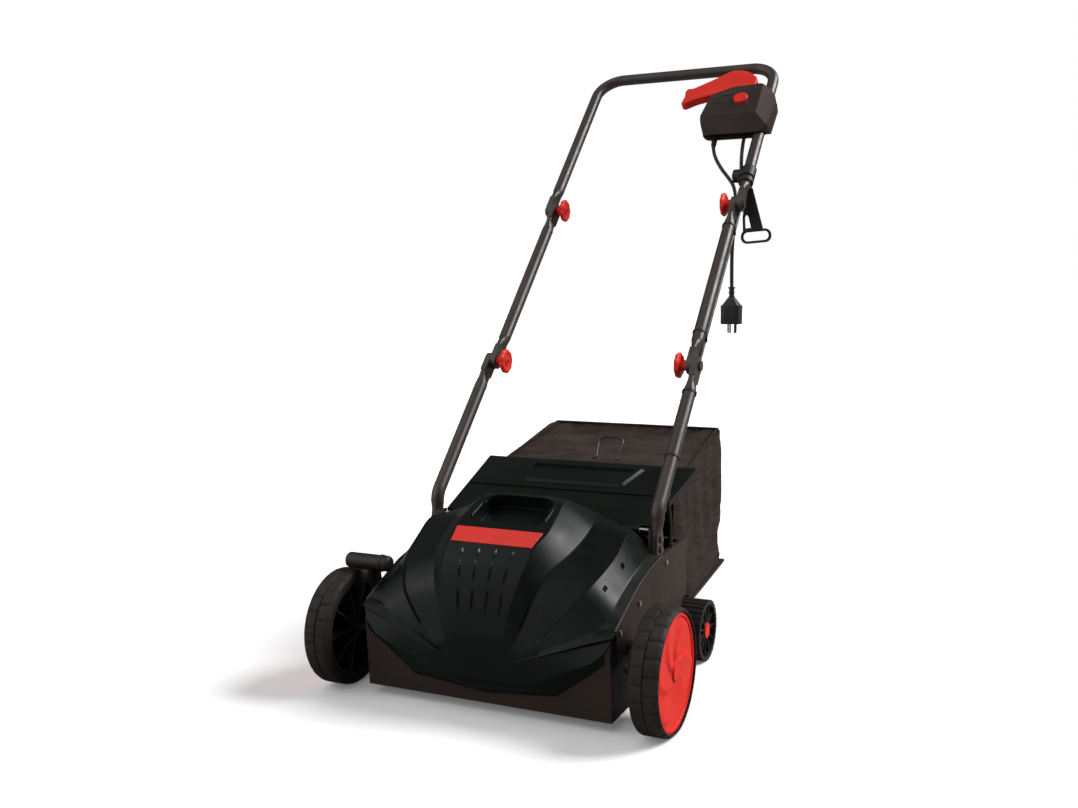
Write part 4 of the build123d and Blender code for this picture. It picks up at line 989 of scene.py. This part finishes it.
def make_bag(materials):
    ring = bag_ring()
    count = len(ring)
    points, faces, held = [], [], []
    for r in range(BAG_ROWS + 1):
        y = BAG_MOUTH + (BAG_BACK - BAG_MOUTH) * r / BAG_ROWS
        for across, up in ring:
            if r == 0 or up == 0 or (up == 1 and (r == BAG_ROWS or abs(across) == 1)):
                held.append(len(points))
            points.append(bag_place(y, across, up))
    for r in range(BAG_ROWS):
        for j in range(count):
            n = (j + 1) % count
            faces.append((r * count + j, r * count + n, (r + 1) * count + n, (r + 1) * count + j))
    # the back, as a grid between the two sides
    start = len(points)
    for j in range(BAG_SIDE + 1):
        for k in range(BAG_WIDE + 1):
            points.append(bag_place(BAG_BACK, -1 + 2 * k / BAG_WIDE, j / BAG_SIDE))
    for j in range(BAG_SIDE):
        for k in range(BAG_WIDE):
            a = start + j * (BAG_WIDE + 1) + k
            faces.append((a, a + 1, a + BAG_WIDE + 2, a + BAG_WIDE + 1))
    fixed = {tuple(round(c, 5) for c in points[k]) for k in held}
    bag = link("bag_cloth", mesh_of("bag_cloth", points, faces))
    group = bag.vertex_groups.new(name="held")
    rest = [v.co.copy() for v in bag.data.vertices]
    group.add([k for k, p in enumerate(rest) if tuple(round(c, 5) for c in p) in fixed], 1.0, "REPLACE")
    sag(bag)
    for v, home in zip(bag.data.vertices, rest):
        moved = v.co - home
        if moved.length > SAG * MM:
            v.co = home + moved.normalized() * SAG * MM
        v.co.x = max(-0.1835, min(0.1835, v.co.x))
    skin = bag.modifiers.new("cloth_thickness", "SOLIDIFY")
    skin.thickness = 1.4 * MM
    skin.offset = -1
    apply_modifiers(bag)
    smooth(bag.data, 50)
    finish_piece(bag, "bag_fabric", "bag", materials)
    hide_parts("bag")
    make_piping(materials)


def sag(piece):
    """Let the cloth hang between its held edges."""
    cloth = piece.modifiers.new("cloth", "CLOTH")
    cloth.settings.vertex_group_mass = "held"
    cloth.settings.quality = 6
    cloth.settings.mass = 0.25
    cloth.settings.tension_stiffness = 12
    cloth.settings.compression_stiffness = 12
    cloth.settings.shear_stiffness = 5
    cloth.settings.bending_stiffness = 0.6
    cloth.settings.shrink_min = -0.025
    cloth.point_cache.frame_start = 1
    cloth.point_cache.frame_end = 24
    scene = bpy.context.scene
    for moment in range(1, 25):
        scene.frame_set(moment)
    apply_modifiers(piece)
    scene.frame_set(1)


def make_piping(materials):
    """Rolled seams along the bag's top edges, its back and its upright corners."""
    inner = BAG_HALF - 1.0
    for side, sign in (("left", -1), ("right", 1)):
        top = [at(sign * (bag_half(y) - 1), y, z - 0.5) for y, z in BAG_TOP]
        seam = tube_along("bag_seam_" + side, top, 2.6 * MM, 8)
        finish_piece(seam, "bag_fabric", "bag", materials)
        mouth = [at(sign * inner, 308, z) for z in (120, 281)]
        edge = tube_along("bag_mouth_" + side, mouth, 2.2 * MM, 8)
        finish_piece(edge, "bag_fabric", "bag", materials)
    y, z = BAG_TOP[-1]
    wide = bag_half(y) - 1
    back = tube_along("bag_seam_back", [at(-wide, y - 2, z - 0.5), at(wide, y - 2, z - 0.5)], 2.6 * MM, 8)
    finish_piece(back, "bag_fabric", "bag", materials)


# ---------------------------------------------------------------- switch
BOX = [
    (92, 190), (198, 190), (213, 204), (216, 286), (206, 304), (182, 318),
    (160, 314), (127, 312), (92, 295), (84, 286), (75, 222), (80, 202),
]
BOX_BACK = -14.0
BOX_FRONT = 33.0
LEVER = [
    (168, 322), (158, 318), (127, 318), (78, 304), (50, 295), (38, 288), (28, 282), (20, 285),
    (22, 300), (24, 308), (21, 320), (24, 332), (36, 331), (46, 337), (79, 358), (100, 374),
    (113, 381), (128, 380), (144, 374), (158, 362), (168, 351),
]
LEVER_H = (6.0, 24.0)
GROOVES = ((104, 130, 285), (96, 120, 262))   # across the box's front: from x, to x, and at s
BUTTON = (150.0, 272.0)
BUTTON_R = 14.5
HOLE_DEEP = 20.0          # the button's well in the box


def shear(mesh, place, normal):
    """Cut a closed mesh by a plane and close it again, keeping the side that the normal points from."""
    shape = bmesh.new()
    shape.from_mesh(mesh)
    geometry = shape.verts[:] + shape.edges[:] + shape.faces[:]
    found = bmesh.ops.bisect_plane(shape, geom=geometry, plane_co=place, plane_no=normal, clear_outer=True)
    rim = [e for e in found["geom_cut"] if isinstance(e, bmesh.types.BMEdge)]
    bmesh.ops.contextual_create(shape, geom=rim)
    bmesh.ops.recalc_face_normals(shape, faces=shape.faces)
    shape.to_mesh(mesh)
    shape.free()


def along_handle(x, s, h):
    """A direction given in the handle's own axes."""
    return on_handle(x, s, h) - on_handle(0, 0, 0)


def make_switch(materials):
    loop = [on_handle(x, s, BOX_BACK + 0.2) for x, s in BOX]
    mesh = slab("switch_box_shaped", loop, along_handle(0, 0, BOX_FRONT - BOX_BACK - 0.2), 7 * MM, 3)
    shear(mesh, on_handle(0, 227, BOX_FRONT), along_handle(0, -19, 37))
    shear(mesh, on_handle(188, 0, BOX_FRONT), along_handle(17, 0, 30))
    shear(mesh, on_handle(0, 190, 14), along_handle(0, -28, -24))
    box = link("switch_box_shaped", mesh)
    for low, high, s_low in GROOVES:
        groove = [(low, s_low), (high, s_low), (high, s_low + 1.6), (low, s_low + 1.6)]
        tool = [on_handle(x, s, BOX_FRONT - 0.8) for x, s in groove]
        cut(box, slab("groove", tool, along_handle(0, 0, 5)), "groove")
    centre = on_handle(*BUTTON, BOX_FRONT - HOLE_DEEP)
    hole_r = BUTTON_R + 0.8
    hole = []
    for k in range(40):
        angle = 2 * pi * k / 40
        hole.append(centre + along_handle(hole_r * cos(angle), hole_r * sin(angle), 0))
    cut(box, slab("hole", hole, along_handle(0, 0, HOLE_DEEP + 8)), "hole")
    round_edges(box, 2.6, 4, 12)
    finish_piece(box, SLOT["switch_box_front"], BODY["switch_box_front"], materials)
    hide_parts("switch_box_front", "switch_box_rear")
    seam = [on_handle(x, s, -1.2) for x, s in BOX]
    ring = rounded_loop(seam, 7 * MM, 3)
    centre = sum(ring, Vector()) / len(ring)
    grown = [p + (p - centre).normalized() * 0.7 * MM for p in ring]
    band = link("switch_box_seam", slab("switch_box_seam", grown, along_handle(0, 0, 1.2)))
    smooth(band.data, 40)
    finish_piece(band, SLOT["switch_box_front"], BODY["switch_box_front"], materials)
    make_lever(materials)
    make_button(materials)


def make_lever(materials):
    loop = [on_handle(x, s, LEVER_H[0]) for x, s in LEVER]
    mesh = slab("switch_lever_shaped", loop, along_handle(0, 0, LEVER_H[1] - LEVER_H[0]), 5 * MM, 3)
    lever = link("switch_lever_shaped", mesh)
    round_edges(lever, 3.2, 4, 30)
    finish_piece(lever, SLOT["switch_lever"], BODY["switch_lever"], materials)
    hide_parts("switch_lever")


def make_button(materials):
    """The lock button: a dished disc with a raised lip."""
    rise = (
        (0.2, 3.6), (6, 3.8), (9.5, 4.3), (11.5, 4.9), (13, 4.9), (14, 4.2), (BUTTON_R, 3.0), (BUTTON_R, -8),
    )
    steps = 48
    points, faces = [], []
    for j in range(steps):
        angle = 2 * pi * j / steps
        for radius, h in rise:
            x, s = BUTTON[0] + radius * cos(angle), BUTTON[1] + radius * sin(angle)
            points.append(on_handle(x, s, BOX_FRONT + h))
    count = len(rise)
    for j in range(steps):
        n = (j + 1) % steps
        for k in range(count - 1):
            faces.append((j * count + k, j * count + k + 1, n * count + k + 1, n * count + k))
    faces.append(tuple(j * count for j in range(steps)))
    faces.append(tuple(j * count + count - 1 for j in range(steps)))
    button = link("lock_button_shaped", mesh_of("lock_button_shaped", points, faces))
    smooth(button.data, 50)
    finish_piece(button, SLOT["lock_button"], BODY["lock_button"], materials)
    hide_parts("lock_button")


# ---------------------------------------------------------------- plug lead
PLUG_ROUTE = [
    on_handle(108, 170, 0), on_handle(112, 152, 0), on_handle(122, 130, -2), on_handle(136, 107, -5),
    on_handle(151, 89, -10), on_handle(163, 75, -17), on_handle(170, 56, -25), at(172.6, 690, 772),
    at(173.2, 680, 747), at(172.6, 672.5, 720), at(171.6, 668.8, 690), at(171.6, 667.4, 655),
    at(172.0, 668.0, 619.0),
]
CORD_D = 7.0


def make_plug_cord(materials, plug):
    data = bpy.data.curves.new("plug_lead", "CURVE")
    data.dimensions = "3D"
    line = data.splines.new("NURBS")
    line.points.add(len(PLUG_ROUTE) - 1)
    for point, place in zip(line.points, PLUG_ROUTE):
        point.co = (*place, 1)
    line.order_u = 3
    line.use_endpoint_u = True
    line.resolution_u = 12
    data.bevel_depth = CORD_D / 2 * MM
    data.bevel_resolution = 4
    data.use_fill_caps = True
    lead = bpy.data.objects.new("plug_lead", data)
    bpy.context.scene.collection.objects.link(lead)
    finish_piece(lead, "cable", BODY["plug_cord"], materials)
    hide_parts("plug_cord")


# ---------------------------------------------------------------- build everything
make_camera()
make_stage()
materials = make_materials()
for node_name, node in frame["nodes"].items():
    node.data.materials.clear()
    node.data.materials.append(materials[SLOT[node_name]])

strips = build_hood(materials)
make_ribs(strips, materials)
make_grip(materials)
for side, sign in (("left", -1), ("right", 1)):
    make_tyre(side, sign, materials)
    make_cap(side, sign, materials)
    for level_name in ("upper", "lower"):
        make_knob(f"{level_name}_knob_{side}", sign, materials)
make_bag(materials)
make_switch(materials)
make_plug_cord(materials, soften("plug", 0.8, materials))
for node_name, width in (
    ("deck", 1.5), ("flap", 1.2), ("depth_lever", 1.2), ("bag_tray", 1.2), ("badge", 0.5),
    ("cord_hook", 1.0), ("cable_clip", 1.0), ("front_rim_left", 0.8), ("front_rim_right", 0.8),
    ("rear_wheel_left", 0.8), ("rear_wheel_right", 0.8), ("rear_hangers", 1.0),
):
    soften(node_name, width, materials)
